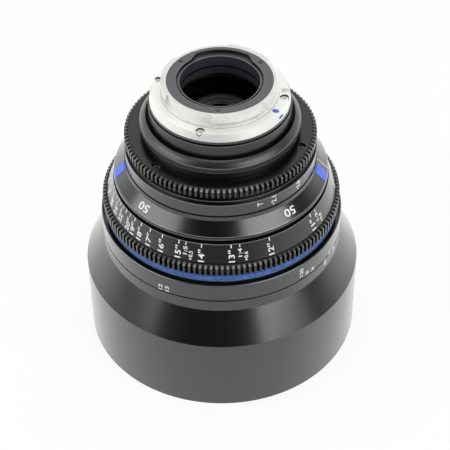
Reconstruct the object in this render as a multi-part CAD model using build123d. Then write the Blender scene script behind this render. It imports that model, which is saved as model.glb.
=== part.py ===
from build123d import *
import os
from math import asin, cos, degrees, pi, radians, sin, sqrt

# A full-size cinema prime lens, standing on its front rim.
# Z = 0 is the plane of the front rim and +Z runs to the camera mount.
# Millimetres. A dial angle is counted from -Y (the front of the photograph) towards +X.

# Fits that every piece shares
seat_gap = 0.05
running_gap = 0.05
free_gap = 0.35
overrun = 1.0
edge_break = 0.25

# Mount: a standard bayonet, whose pilot radius every other radius is built out from
pilot_radius = 26.9
pilot_height = 1.45
mount_flange_reach = 5.46
mount_flange_taper = 1.11
mount_low_radius = pilot_radius + mount_flange_reach
mount_high_radius = mount_low_radius - mount_flange_taper
mount_flange_thickness = 3.61
neck_slot_height = 1.45
neck_slot_depth = 1.3
bayonet_radius = pilot_radius - neck_slot_depth
bayonet_wall = 1.18
lug_height = 3.5
lug_relief = 0.1
mount_ledge_reach = 3.82
mount_ledge_radius = bayonet_radius - bayonet_wall - mount_ledge_reach
mount_ledge_height = 6.0
mount_ledge_drop = 1.8
lug_arcs = ((-9.0, 42.0), (122.0, 171.0), (-129.0, -66.0))
mount_screw_margin = 2.7
mount_screw_circle = pilot_radius + mount_screw_margin
mount_screw_angles = (-107.0, -17.7, 79.6, 169.0)
lock_slot_angle = 89.4
lock_slot_margin = 1.1
lock_slot_start_radius = pilot_radius + lock_slot_margin
lock_slot_width = 2.4
lock_slot_depth = 2.6
shim_overhang = 0.24
shim_radius = mount_low_radius + shim_overhang
shim_thickness = 0.99

# Rear baffle and light stop
baffle_drop = 0.2
baffle_face_width = 4.32
baffle_face_radius = bayonet_radius - bayonet_wall - baffle_face_width
baffle_groove_width = 1.2
baffle_groove_depth = 1.2
baffle_lip_radius = baffle_face_radius - baffle_groove_width
baffle_lip_width = 0.5
baffle_lip_drop = 0.6
baffle_bore_radius = baffle_lip_radius - baffle_lip_width
baffle_plate = 1.6
baffle_tube_wall = 1.1
baffle_tube_length = 5.8
baffle_screw_margin = 2.02
baffle_screw_circle = bayonet_radius - bayonet_wall - baffle_screw_margin
baffle_screw_angles = (-2.5, -127.5, 123.0)
baffle_notch_width = 2.6
baffle_notch_radius = baffle_face_radius + baffle_notch_width
baffle_notch_depth = 1.3
baffle_notch_angle = 176.0
baffle_notch_inner_half_angle = 50.0
baffle_notch_outer_half_angle = 32.0
stop_height = 3.1
stop_rise = 0.8
stop_chamfer = 0.6

# Mount base
base_overhang = 0.4
base_radius = shim_radius + base_overhang
base_groove_depth = 1.1
base_groove_radius = base_radius - base_groove_depth
base_groove_height = 1.1
base_top_plate = 2.0
base_throat_radius = 19.5
base_band_height = 9.88
base_cone_height = 3.6
base_gap = 0.4
base_skirt_height = 2.2

# Fixed rear barrel, from the neck that carries the mount base
neck_step = 1.0
neck_wall = 3.0
barrel_step = 2.4
neck_radius = base_radius + neck_step
barrel_bore_radius = neck_radius - neck_wall
barrel_radius = neck_radius + barrel_step
base_skirt_wall = 0.9
base_bore_radius = barrel_bore_radius - seat_gap - base_skirt_wall
base_cone_width = 3.55
base_cone_radius = base_bore_radius - base_cone_width
barrel_web = 1.75

# Iris fork between the iris ring and the drive ring
fork_angle = 180.0
fork_wall = 1.3
fork_outer_radius = base_bore_radius - free_gap
fork_inner_radius = fork_outer_radius - fork_wall
fork_prong = 1.5
fork_foot_height = 2.45
fork_end = 1.2
fork_foot_grip = 2.2
fork_foot_reach = barrel_radius + fork_foot_grip

# Optical cell
cell_travel = 22.0
cell_gap_to_fork = 0.4
cell_radius = fork_inner_radius - cell_gap_to_fork
cell_bearing_step = 2.15
cell_front_radius = cell_radius + cell_bearing_step
cell_bearing_height = 9.0
front_cell_length = 28.0
cell_gap_to_plate = 3.0
chamber_wall = 1.4
chamber_radius = cell_radius - chamber_wall
rear_cell_cylinder = 12.0
cell_cone_height = 6.5
snout_radius = 13.0
snout_length = 13.7
front_cell_wall = 2.0
front_ring_radius = cell_radius - front_cell_wall
front_ring_height = 3.0
rear_ring_step = 0.7
rear_ring_radius = snout_radius - rear_ring_step
rear_ring_rise = 0.7
rear_ring_face = 3.3
rear_ring_face_bore_radius = rear_ring_radius - rear_ring_face
rear_ring_face_height = 0.9
rear_ring_lip_width = 0.6
rear_ring_lip_radius = rear_ring_face_bore_radius - rear_ring_lip_width
rear_ring_lip_height = 0.4
rear_brim_width = 2.6
rear_brim_radius = rear_ring_radius + rear_brim_width
rear_brim_height = 0.3
spanner_hole_radius = 0.4
spanner_hole_depth = 0.8
spanner_margin = 1.5
spanner_circle = rear_ring_face_bore_radius + spanner_margin
spanner_angles = (24.0, -156.0)

# Iris
blade_count = 14
blade_thickness = 0.12
blade_pitch = 0.2
blade_pin_margin = 5.6
blade_arm = 3.5
blade_gap_to_posts = 1.1
blade_width = 3.5
blade_pin_circle = chamber_radius - blade_pin_margin
blade_post_circle = blade_pin_circle - blade_arm
blade_outer_radius = blade_post_circle - blade_gap_to_posts
blade_inner_radius = blade_outer_radius - blade_width
blade_post_radius = 0.7
blade_sweep_angle = 112.0
blade_swing_angle = 39.2
blade_eye_radius = 1.4
blade_pin_radius = 0.5
blade_ear_radius = 0.9
iris_plate_thickness = 0.95
iris_plate_margin = 1.1
iris_plate_bore_radius = blade_inner_radius + iris_plate_margin
blade_ring_turn_angle = 6.25
blade_ring_margin = 1.8
blade_ring_bore_radius = blade_pin_circle - blade_ring_margin
blade_ring_thickness = 1.0
slot_play = 0.15
drive_ring_thickness = 1.6
drive_ring_width = 6.6
drive_ring_bore_radius = chamber_radius - drive_ring_width
drive_pin_radius = 0.6
drive_pin_tip_gap = 0.3
drive_pin_reach = fork_outer_radius - drive_pin_tip_gap
iris_play = 0.1

# Glass: flat edge heights from the seat below, surface radii and the two radii of each edge
glass_play = 0.05
cement = 0.02
front_glass_seat = 4.0
front_glass_radius = front_ring_radius - front_glass_seat
front_glass_bevel = 1.0
front_glass_clear = front_glass_radius - front_glass_bevel
front_glass_height = 6.5
front_glass_curves = (60.0, -140.0)
front_spacer_wall = 1.1
front_doublet_step = 3.0
front_doublet_radius = front_glass_radius - front_doublet_step
front_doublet_bevel = 1.2
front_doublet_clear = front_doublet_radius - front_doublet_bevel
cell_stop_lip = 0.2
cell_stop_radius = iris_plate_bore_radius + cell_stop_lip
front_doublet_rear_clear = cell_stop_radius - cell_stop_lip
front_doublet_gap = 4.5
front_doublet_split = 2.5
front_doublet_height = 10.0
front_doublet_curves = (34.0, -20.0)
rear_doublet_radius = 16.0
rear_doublet_bevel = 1.0
rear_doublet_clear = rear_doublet_radius - rear_doublet_bevel
rear_doublet_front_bevel = 2.5
rear_doublet_front_clear = rear_doublet_radius - rear_doublet_front_bevel
rear_doublet_split = 4.5
rear_doublet_height = 6.0
rear_doublet_curves = (-30.0, 45.0)
middle_ring_height = 1.5
middle_ring_wall = 2.2
middle_ring_bore_radius = rear_doublet_radius - middle_ring_wall
rear_throat_step = 0.7
rear_throat_radius = rear_doublet_radius - rear_throat_step
rear_throat_height = 4.1
snout_wall = 1.45
rear_glass_radius = snout_radius - snout_wall
rear_lip_width = 0.65
rear_lip_radius = rear_glass_radius - rear_lip_width
rear_lip_height = 1.0
rear_glass_bevel = 0.85
rear_glass_clear = rear_glass_radius - rear_glass_bevel
rear_inner_height = 2.0
rear_inner_curves = (60.0, 50.0)
rear_spacer_height = 5.1
rear_spacer_wall = 0.6
rear_outer_height = 3.2
rear_outer_curves = (-70.0, 40.0)
rear_ring_wall = 0.75
rear_ring_bore_radius = rear_glass_radius - rear_ring_wall

# Guide sleeve that ties the front barrel to the rear barrel
sleeve_wall = 2.0
sleeve_bore_radius = cell_front_radius + running_gap
sleeve_flange_height = 2.5
sleeve_foot_width = 1.8
sleeve_foot_radius = sleeve_bore_radius + sleeve_wall + sleeve_foot_width
sleeve_foot_height = 1.6
sleeve_foot_step = 1.0
front_plate_height = 3.0
guide_slot_angles = (60.0, 180.0, 300.0)

# Focus helicoid and the skirt of the rear barrel round it
helicoid_wall = 3.0
helicoid_flange_height = 2.5
roller_radius = 2.0
roller_gap = 0.08
roller_root = 1.0
groove_depth = 2.0
skirt_wall = 2.9
skirt_gap = 0.75
skirt_bore_radius = sleeve_bore_radius + sleeve_wall + running_gap + helicoid_wall + skirt_gap
skirt_length = 23.85

# Focus ring
focus_rest_gap = 0.85
hub_wall = 2.05
web_height = 3.5
helicoid_flange_grip = 2.0
helicoid_flange_radius = skirt_bore_radius + skirt_wall + running_gap + hub_wall + helicoid_flange_grip
carrier_rim_wall = 3.5
carrier_trough_width = 5.5
carrier_radius = helicoid_flange_radius - helicoid_flange_grip + carrier_trough_width + carrier_rim_wall
carrier_flange_width = 5.6
carrier_flange_radius = carrier_radius + carrier_flange_width
carrier_flange_height = 6.2
gear_module = 0.8
gear_tooth_depth_share = 2.25
gear_bevel_height = 0.8
gear_tip_share = 0.2
gear_root_share = 0.33
focus_gear_wall = 5.0
focus_root_radius = carrier_radius + focus_gear_wall
focus_teeth = round(2 * (focus_root_radius / gear_module + gear_tooth_depth_share - 1))
focus_gear_height = 5.6
blue_ring_overhang = 1.0
blue_ring_radius = focus_root_radius + blue_ring_overhang
blue_ring_height = 4.3
focus_band_step = 0.4
focus_band_groove = 0.4
focus_band_height = 8.9
focus_band_taper = 3.25
focus_band_low_radius = focus_root_radius - focus_band_step
focus_band_high_radius = focus_band_low_radius - focus_band_taper
focus_travel_angle = 300.0
focus_back_travel_angle = 12.0

# Stops of the focus ring
stop_pin_inset = 1.0
stop_pin_circle = carrier_radius - stop_pin_inset
stop_pin_radius = 1.0
stop_pin_length = 5.8
stop_pin_gap = 1.0
stop_block_width = 3.0
stop_margin_angle = 0.4

# Front scale barrel
front_band_overhang = 3.0
front_band_radius = focus_root_radius + front_band_overhang
front_band_height = 6.1
front_groove_height = 0.8
front_groove_depth = 0.4
rim_band_height = 9.25
rim_wall = 0.6
rim_channel_depth = 5.85
front_ledge_height = 4.0
front_wall = 2.8
front_ledge_width = 4.2
front_wall_radius = front_band_radius - front_wall
front_ledge_radius = front_wall_radius - front_ledge_width

# Front bell
bell_overhang = 9.0
bell_radius = front_band_radius + bell_overhang
bell_height = 40.75
bell_cone_height = 15.25
bell_wall = 2.5
bell_floor = 3.5
bell_throat_lip = 2.0
bell_throat_radius = sleeve_foot_radius + bell_throat_lip

# Ribbed liner inside the bell
liner_front = 1.0
liner_lip_height = 2.0
liner_lip_width = 2.9
liner_mouth_radius = bell_radius - bell_wall - liner_lip_width
liner_throat_step = 1.0
liner_throat_radius = bell_throat_radius + liner_throat_step
liner_wall = 2.6
liner_ribs = 20

# Iris ring
ring_gap = 0.3
iris_band_wall = 8.6
iris_band_radius = barrel_radius + iris_band_wall
iris_band_height = 6.3
iris_step_depth = 1.5
iris_step_radius = iris_band_radius - iris_step_depth
iris_step_height = 1.35
iris_waist_depth = 3.6
iris_waist_radius = iris_band_radius - iris_waist_depth
iris_recess_height = 4.45
iris_root_depth = 2.0
iris_root_radius = iris_band_radius - iris_root_depth
iris_teeth = round(2 * (iris_root_radius / gear_module + gear_tooth_depth_share - 1))
iris_gear_height = 4.15
iris_bore_relief = 0.5
iris_bore_edge_radius = barrel_radius + iris_bore_relief
iris_open_angle = 45.0
iris_close_angle = 74.0

# Fixed index ring
index_gap = 1.2
index_lip_inset = 0.2
index_lip_radius = focus_band_high_radius - index_lip_inset
index_lip_height = 2.45
index_lip_chamfer = 0.55
index_lip_undercut = 0.9
index_lip_bulge = 0.5
index_lip_wall = 2.4
index_step = 0.4
index_shoulder_width = 0.1
index_high_radius = iris_band_radius + index_step
index_cone_high_radius = index_high_radius + index_shoulder_width
index_cone_height = 5.45
index_shoulder_height = 2.15
index_rim_wall = 1.4
flange_radius = index_high_radius - index_rim_wall
flange_height = 5.35
index_foot_width = 3.1
index_foot_radius = flange_radius - index_foot_width
index_foot_height = 2.0

# Rear collar
collar_step = 0.2
collar_edge_width = 0.66
collar_crown_width = 1.6
collar_wall_radius = barrel_radius + collar_step
collar_wall_height = 3.6
collar_foot_height = 0.4
collar_groove_depth = 1.0
collar_groove_radius = collar_wall_radius - collar_groove_depth
collar_seat_height = 5.07
collar_edge_radius = collar_wall_radius + collar_edge_width
collar_edge_height = 2.47
collar_crown_height = 2.93
collar_crown_radius = base_radius + collar_crown_width
collar_lip_drop = 1.1
collar_bulge = 0.35

# Small screws: head radius, head height, shank radius, shank length
barrel_screw = (1.5, 1.2, 0.8, 4.6)
mount_screw = (1.9, 1.3, 1.0, 5.3)
baffle_screw = (1.25, 0.9, 0.6, 2.6)
iris_screw = (1.9, 1.4, 1.0, 5.0)
screw_slot_share = 0.62
screw_slot_width_share = 0.22
screw_slot_depth_share = 0.55
screw_sink = 0.3
mount_screw_sink = 0.9
screw_thread_gap = 0.04
mount_counterbore_gap = 0.15
mount_counterbore_radius = mount_screw[0] + mount_counterbore_gap
index_screw_angles = (30.0, 150.0, 270.0)
sleeve_screw_angles = (0.0, 120.0, 240.0)
plate_screw_angles = (0.0, 60.0, 120.0, 180.0, 240.0, 300.0)
bell_screw_angles = (30.0, 90.0, 150.0, 210.0, 270.0, 330.0)
helicoid_screw_angles = (15.0, 75.0, 135.0, 195.0, 255.0, 315.0)
iris_screw_angles = (68.7, -47.4, -169.0)
iris_screw_drop = iris_screw[1]
iris_screw_margin = 3.0
plate_screw_margin = 1.9
sleeve_screw_margin = 2.0
index_screw_margin = 1.6
helicoid_screw_margin = 2.4
iris_screw_circle = barrel_radius + iris_screw_margin
plate_screw_circle = front_wall_radius - plate_screw_margin
sleeve_screw_circle = skirt_bore_radius - sleeve_screw_margin
index_screw_circle = flange_radius - index_screw_margin
helicoid_screw_circle = helicoid_flange_radius - helicoid_screw_margin

# Heights of the stack, from the front rim up
z_bell_top = bell_height + bell_cone_height
z_groove = z_bell_top + front_band_height
z_rim_band = z_groove + front_groove_height
z_rim = z_rim_band + rim_band_height
z_channel = z_rim - rim_channel_depth
z_blue = z_rim + focus_rest_gap
z_focus_gear = z_blue + blue_ring_height
z_gear_top = z_focus_gear + focus_gear_height
z_focus_band = z_gear_top + focus_band_groove
z_focus_top = z_focus_band + focus_band_height
z_index_lip = z_focus_top + index_gap
z_index_cone = z_index_lip + index_lip_height
z_index_shoulder = z_index_cone + index_cone_height
z_index_top = z_index_shoulder + index_shoulder_height
z_iris = z_index_top + ring_gap
z_iris_recess = z_iris + iris_band_height
z_iris_gear = z_iris_recess + iris_recess_height
z_iris_top = z_iris_gear + iris_gear_height
z_collar = z_iris_top + free_gap
z_collar_edge = z_collar + collar_wall_height
z_collar_crown = z_collar_edge + collar_edge_height
z_collar_top = z_collar_crown + collar_crown_height
z_base = z_collar + collar_seat_height + free_gap
z_base_groove = z_base + base_band_height
z_shim = z_base_groove + base_groove_height
z_mount = z_shim + shim_thickness
z_flange = z_mount + mount_flange_thickness
z_pilot = z_flange + pilot_height
z_lug = z_pilot + neck_slot_height
z_tail = z_lug + lug_height

# Heights inside
z_front_ledge = z_bell_top + front_ledge_height
z_front_plate = z_front_ledge + front_plate_height
z_cell = z_front_plate + cell_gap_to_plate
z_cell_split = z_cell + front_cell_length
z_sleeve_top = z_index_top - ring_gap
z_helicoid_flange = z_blue
z_web = z_helicoid_flange + helicoid_flange_height
z_web_top = z_web + web_height
z_flange_low = z_sleeve_top - flange_height
z_skirt = z_sleeve_top - skirt_length
z_blades = z_cell_split + iris_plate_thickness + iris_play
z_blade_ring = z_blades + blade_count * blade_pitch + iris_play
z_drive_ring = z_blade_ring + blade_ring_thickness + free_gap
z_drive_pin = z_drive_ring + drive_ring_thickness / 2
z_cell_cone = z_cell_split + rear_cell_cylinder
z_snout = z_cell_cone + cell_cone_height
z_snout_top = z_snout + snout_length
sleeve_radius = sleeve_bore_radius + sleeve_wall
skirt_radius = skirt_bore_radius + skirt_wall
helicoid_bore_radius = sleeve_radius + running_gap
helicoid_radius = helicoid_bore_radius + helicoid_wall
hub_radius = skirt_radius + running_gap
z_barrel_face = z_sleeve_top - barrel_web
z_sleeve_flange = z_barrel_face - sleeve_flange_height
z_sleeve_foot = z_front_plate + sleeve_foot_height
z_helicoid = z_sleeve_foot + free_gap
z_helicoid_top = z_sleeve_flange - barrel_screw[1] - free_gap
z_carrier = z_blue - carrier_flange_height
z_roller = z_cell + cell_bearing_height / 2
z_chamber_top = z_drive_ring + drive_ring_thickness + iris_play
z_front_glass = z_cell + front_ring_height
z_front_ledge_glass = z_front_glass + front_glass_height
z_front_doublet = z_front_ledge_glass + front_doublet_gap
z_front_stop = z_front_doublet + front_doublet_height
z_rear_doublet = z_chamber_top + middle_ring_height
z_rear_seat = z_rear_doublet + rear_doublet_height
z_rear_lip = z_rear_seat + rear_throat_height
z_rear_inner = z_rear_lip + rear_lip_height
z_rear_spacer = z_rear_inner + rear_inner_height
z_rear_outer = z_rear_spacer + rear_spacer_height
z_rear_ring = z_rear_outer + rear_outer_height
travel_per_degree = cell_travel / focus_travel_angle
cell_back_travel = travel_per_degree * focus_back_travel_angle
cell_forward_travel = cell_travel - cell_back_travel
iris_turn = iris_open_angle + iris_close_angle
blade_rest_swing = blade_swing_angle * iris_open_angle / iris_turn


def turned(points, bows=None):
    """Solid turned about Z from (radius, height) points; bows maps an edge to its bulge."""
    bows = bows or {}
    edges = []
    for i, start in enumerate(points):
        end = points[(i + 1) % len(points)]
        if i in bows:
            across, up = end[0] - start[0], end[1] - start[1]
            length = sqrt(across * across + up * up)
            middle = (
                (start[0] + end[0]) / 2 + up / length * bows[i],
                (start[1] + end[1]) / 2 - across / length * bows[i],
            )
            edges.append(ThreePointArc(start, middle, end))
        else:
            edges.append(Line(start, end))
    return revolve(Plane.XZ * make_face(edges), axis=Axis.Z)


def tube(inner, outer, low, high):
    """Plain ring between two radii and two heights."""
    return turned([(inner, low), (outer, low), (outer, high), (inner, high)])


def sector(inner, outer, low, high, start, end):
    """Part of a ring between two dial angles."""
    profile = make_face(Polyline((inner, low), (outer, low), (outer, high), (inner, high), close=True))
    arc = revolve(Plane.XZ * profile, axis=Axis.Z, revolution_arc=end - start)
    return Rot(0, 0, start - 90) * arc


def place(angle, radius, height):
    """Location at a dial angle, with its own X pointing outwards."""
    return Rot(0, 0, angle - 90) * Pos(radius, 0, height)


def dial_point(radius, angle):
    """Point in the XY plane at a dial angle."""
    return radius * sin(radians(angle)), -radius * cos(radians(angle))


def rod(radius, low, high):
    """Upright cylinder between two heights."""
    return Pos(0, 0, (low + high) / 2) * Cylinder(radius, high - low)


def radial_rod(radius, start, end, height, angle):
    """Cylinder that lies along a radius."""
    length = end - start
    return place(angle, start + length / 2, height) * Rot(0, 90, 0) * Cylinder(radius, length)


def radial_box(width, start, end, low, high, angle):
    """Box along a radius."""
    length = end - start
    return place(angle, start + length / 2, (low + high) / 2) * Box(length, width, high - low)


def cross_screw(sizes):
    """Cross-head screw with the top of its head at height zero."""
    head_radius, head_height, shank_radius, shank_length = sizes
    body = rod(head_radius, -head_height, 0) + rod(shank_radius, -head_height - shank_length, -head_height)
    depth = head_height * screw_slot_depth_share
    slot = Box(2 * head_radius * screw_slot_share, 2 * head_radius * screw_slot_width_share, 2 * depth)
    return body - slot - Rot(0, 0, 90) * slot


def screw_hole(sizes, head_clearance, top):
    """Cutter for the head and shank of a screw whose head top is at height zero."""
    head_radius, head_height, shank_radius, shank_length = sizes
    head = rod(head_radius + head_clearance, -head_height, top)
    shank = rod(shank_radius + screw_thread_gap, -head_height - shank_length - screw_thread_gap, top)
    return head + shank


def around(angles, radius, height, shape):
    """Copies of a shape on a circle, one at each dial angle."""
    return [place(angle, radius, height) * shape for angle in angles]


def group(shapes):
    """Separate solids of one node."""
    return Compound(children=[solid for shape in shapes for solid in shape.solids()])


def gear_ring(teeth, inner, low, high):
    """Spur ring with straight-flanked teeth of the shared module."""
    tip = gear_module * (teeth + 2) / 2
    root = tip - gear_tooth_depth_share * gear_module
    corners = (
        (root, -gear_root_share),
        (tip, -gear_tip_share),
        (tip, gear_tip_share),
        (root, gear_root_share),
    )
    step = 2 * pi / teeth
    points = []
    for i in range(teeth):
        for radius, share in corners:
            turn = (i + share) * step
            points.append((radius * cos(turn), radius * sin(turn)))
    blank = Pos(0, 0, low) * extrude(make_face(Polyline(*points, close=True)), high - low)
    bevel_share = (tip + overrun - root) / (tip - root)
    bevel = turned([
        (root, high),
        (tip + overrun, high - gear_bevel_height * bevel_share),
        (tip + overrun, high + overrun),
        (root, high + overrun),
    ])
    return blank - bevel - tube(0, inner, low - overrun, high + overrun)


# Mount end
def mount_ring():
    """Steel bayonet ring: flange, pilot, neck, three lugs and the ledge for the baffle."""
    bore = bayonet_radius - bayonet_wall
    z_ledge_top = z_tail - mount_ledge_drop
    z_ledge = z_ledge_top - mount_ledge_height
    body = turned([
        (bore, z_mount),
        (mount_low_radius, z_mount),
        (mount_high_radius, z_flange),
        (pilot_radius, z_flange),
        (pilot_radius, z_pilot),
        (bayonet_radius, z_pilot),
        (bayonet_radius, z_tail),
        (bore, z_tail),
        (bore, z_ledge_top),
        (mount_ledge_radius, z_ledge_top),
        (mount_ledge_radius, z_ledge),
        (bore, z_ledge),
    ])
    lug_root = bayonet_radius - bayonet_wall / 2
    for start, end in lug_arcs:
        body += sector(lug_root, pilot_radius - lug_relief, z_lug, z_tail, start, end)
    counterbore = rod(mount_counterbore_radius, z_screw_seat(), z_flange + overrun)
    shank = rod(mount_screw[2] + seat_gap, z_mount - overrun, z_flange)
    body -= around(mount_screw_angles, mount_screw_circle, 0, counterbore + shank)
    body -= radial_box(
        lock_slot_width, lock_slot_start_radius, mount_low_radius + overrun,
        z_flange - lock_slot_depth, z_flange + overrun, lock_slot_angle,
    )
    hole = screw_hole(baffle_screw, seat_gap, 0)
    return body - around(baffle_screw_angles, baffle_screw_circle, z_tail - baffle_drop - screw_sink, hole)


def z_screw_seat():
    """Height of the seat under a mount screw's head."""
    return z_flange - mount_screw_sink - mount_screw[1]


def mount_screws():
    top = z_flange - mount_screw_sink
    return group(around(mount_screw_angles, mount_screw_circle, top, cross_screw(mount_screw)))


def mount_shim():
    """Thin ring that sets the flange distance."""
    body = tube(bayonet_radius - bayonet_wall + seat_gap, shim_radius, z_shim, z_mount)
    shank = rod(mount_screw[2] + seat_gap, z_shim - overrun, z_mount + overrun)
    return body - around(mount_screw_angles, mount_screw_circle, 0, shank)


def light_stop():
    """Ring that closes the throat in front of the baffle."""
    outer = bayonet_radius - bayonet_wall - seat_gap
    collar_radius = mount_ledge_radius - running_gap
    return turned([
        (baffle_bore_radius + stop_chamfer, z_shim),
        (outer, z_shim),
        (outer, z_shim + stop_height),
        (collar_radius, z_shim + stop_height),
        (collar_radius, z_shim + stop_height + stop_rise),
        (baffle_bore_radius, z_shim + stop_height + stop_rise),
        (baffle_bore_radius, z_shim + stop_chamfer),
    ])


def rear_baffle():
    """Grey light baffle inside the bayonet tube."""
    top = z_tail - baffle_drop
    outer = bayonet_radius - bayonet_wall - seat_gap
    tube_radius = baffle_bore_radius + baffle_tube_wall
    body = turned([
        (baffle_bore_radius, top - baffle_tube_length),
        (tube_radius, top - baffle_tube_length),
        (tube_radius, top - baffle_plate),
        (outer, top - baffle_plate),
        (outer, top),
        (baffle_face_radius, top),
        (baffle_face_radius, top - baffle_groove_depth),
        (baffle_lip_radius, top - baffle_groove_depth),
        (baffle_lip_radius, top - baffle_lip_drop),
        (baffle_bore_radius, top - baffle_lip_drop),
    ])
    inner_radius = baffle_face_radius - baffle_groove_width / 2
    inner, outer = baffle_notch_inner_half_angle, baffle_notch_outer_half_angle
    inner_arc = [dial_point(inner_radius, baffle_notch_angle + turn) for turn in (-inner, 0, inner)]
    outer_arc = [dial_point(baffle_notch_radius, baffle_notch_angle + turn) for turn in (outer, 0, -outer)]
    edges = [
        ThreePointArc(*inner_arc),
        Line(inner_arc[-1], outer_arc[0]),
        ThreePointArc(*outer_arc),
        Line(outer_arc[-1], inner_arc[0]),
    ]
    notch = Pos(0, 0, top - baffle_notch_depth) * extrude(make_face(edges), baffle_plate)
    hole = screw_hole(baffle_screw, seat_gap, z_tail)
    return body - notch - around(baffle_screw_angles, baffle_screw_circle, top - screw_sink, hole)


def baffle_screws():
    top = z_tail - baffle_drop - screw_sink
    return group(around(baffle_screw_angles, baffle_screw_circle, top, cross_screw(baffle_screw)))


def mount_base():
    """Black cylinder that carries the bayonet ring and screws into the barrel's neck."""
    z_plate = z_shim - base_top_plate
    body = turned([
        (base_bore_radius, z_base - base_skirt_height),
        (barrel_bore_radius - seat_gap, z_base - base_skirt_height),
        (barrel_bore_radius - seat_gap, z_base),
        (base_radius, z_base),
        (base_radius, z_base_groove),
        (base_groove_radius, z_base_groove),
        (base_groove_radius, z_shim),
        (base_throat_radius, z_shim),
        (base_throat_radius, z_plate),
        (base_cone_radius, z_plate),
        (base_bore_radius, z_plate - base_cone_height),
    ])
    hole = screw_hole(mount_screw, seat_gap, 0)
    return body - around(mount_screw_angles, mount_screw_circle, z_flange - mount_screw_sink, hole)


def rear_collar():
    """Collar that holds the iris ring on the barrel, with a groove and a rounded crown."""
    bore = base_radius + base_gap
    return turned([
        (neck_radius + seat_gap, z_collar),
        (collar_wall_radius, z_collar),
        (collar_wall_radius, z_collar + collar_foot_height),
        (collar_groove_radius, z_collar + collar_foot_height),
        (collar_groove_radius, z_collar_edge),
        (collar_edge_radius, z_collar_edge),
        (collar_edge_radius, z_collar_crown),
        (collar_crown_radius, z_collar_top),
        (bore, z_collar_top - collar_lip_drop),
        (bore, z_base + seat_gap),
        (neck_radius + seat_gap, z_base + seat_gap),
    ], {6: collar_bulge})


# Fixed barrels
def main_barrel():
    """Rear barrel: iris ring bearing, flange for the index ring and skirt for the focus ring."""
    body = turned([
        (barrel_bore_radius, z_barrel_face),
        (skirt_bore_radius, z_barrel_face),
        (skirt_bore_radius, z_skirt),
        (skirt_radius, z_skirt),
        (skirt_radius, z_flange_low),
        (flange_radius, z_flange_low),
        (flange_radius, z_sleeve_top),
        (barrel_radius, z_sleeve_top),
        (barrel_radius, z_collar),
        (neck_radius, z_collar),
        (neck_radius, z_base),
        (barrel_bore_radius, z_base),
    ])
    half = fork_half_angle() + degrees(free_gap / barrel_bore_radius)
    body -= sector(
        barrel_bore_radius - overrun, barrel_radius + overrun,
        z_iris_gear - fork_foot_height - free_gap, z_iris_gear + free_gap,
        fork_angle - iris_close_angle - half, fork_angle + iris_open_angle + half,
    )
    thread = Rot(180, 0, 0) * barrel_thread()
    body -= around(index_screw_angles, index_screw_circle, z_index_foot(), thread)
    return body - around(sleeve_screw_angles, sleeve_screw_circle, z_sleeve_flange, thread)


def barrel_thread():
    """Cutter for a barrel screw's shank below its seat at height zero."""
    return rod(barrel_screw[2] + screw_thread_gap, -barrel_screw[3] - screw_thread_gap, screw_thread_gap)


def z_index_foot():
    return z_flange_low - index_foot_height


def index_ring():
    """Fixed cone between the focus and iris rings; it carries the index line."""
    lip_bore = index_lip_radius - index_lip_wall
    body = turned([
        (index_foot_radius, z_index_foot()),
        (lip_bore, z_index_foot()),
        (lip_bore, z_index_lip),
        (index_lip_radius - index_lip_undercut, z_index_lip),
        (index_lip_radius - index_lip_chamfer, z_index_cone),
        (index_cone_high_radius, z_index_shoulder),
        (index_high_radius, z_index_top),
        (flange_radius + seat_gap, z_index_top),
        (flange_radius + seat_gap, z_flange_low),
        (index_foot_radius, z_flange_low),
    ], {3: index_lip_bulge})
    thread = Rot(180, 0, 0) * barrel_thread()
    return body - around(index_screw_angles, index_screw_circle, z_index_foot(), thread)


def guide_sleeve():
    """Sleeve with three straight slots that ties the rear barrel to the front plate."""
    body = turned([
        (sleeve_bore_radius, z_front_ledge),
        (sleeve_foot_radius - sleeve_foot_step, z_front_ledge),
        (sleeve_foot_radius - sleeve_foot_step, z_front_plate),
        (sleeve_foot_radius, z_front_plate),
        (sleeve_foot_radius, z_sleeve_foot),
        (sleeve_radius, z_sleeve_foot),
        (sleeve_radius, z_sleeve_flange),
        (skirt_bore_radius - seat_gap, z_sleeve_flange),
        (skirt_bore_radius - seat_gap, z_barrel_face),
        (sleeve_bore_radius, z_barrel_face),
    ])
    low = z_roller - cell_back_travel
    high = z_roller + cell_forward_travel
    reach = roller_radius + roller_gap
    for angle in guide_slot_angles:
        body -= radial_box(2 * reach, sleeve_bore_radius - overrun, sleeve_radius + overrun, low, high, angle)
        for height in (low, high):
            body -= radial_rod(reach, sleeve_bore_radius - overrun, sleeve_radius + overrun, height, angle)
    thread = Rot(180, 0, 0) * barrel_thread()
    return body - around(sleeve_screw_angles, sleeve_screw_circle, z_sleeve_flange, thread)


def front_plate():
    """Plate that joins the guide sleeve to the front barrel."""
    bore = sleeve_foot_radius - sleeve_foot_step + seat_gap
    body = tube(bore, front_wall_radius - seat_gap, z_front_ledge, z_front_plate)
    return body - around(plate_screw_angles, plate_screw_circle, z_front_plate, barrel_thread())


def front_barrel():
    """Fixed front scale barrel with the channel that the focus ring dips into."""
    rim_bore = front_band_radius - rim_wall
    body = turned([
        (front_ledge_radius, z_bell_top),
        (front_band_radius, z_bell_top),
        (front_band_radius, z_groove),
        (front_band_radius - front_groove_depth, z_groove),
        (front_band_radius - front_groove_depth, z_rim_band),
        (front_band_radius, z_rim_band),
        (front_band_radius, z_rim - edge_break),
        (front_band_radius - edge_break, z_rim),
        (rim_bore, z_rim),
        (rim_bore, z_channel),
        (front_wall_radius, z_channel),
        (front_wall_radius, z_front_ledge),
        (front_ledge_radius, z_front_ledge),
    ])
    body -= around(plate_screw_angles, plate_screw_circle, z_front_plate, barrel_thread())
    hole = screw_hole(barrel_screw, seat_gap, overrun)
    return body - around(bell_screw_angles, plate_screw_circle, z_bell_screw(), hole)


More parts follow.
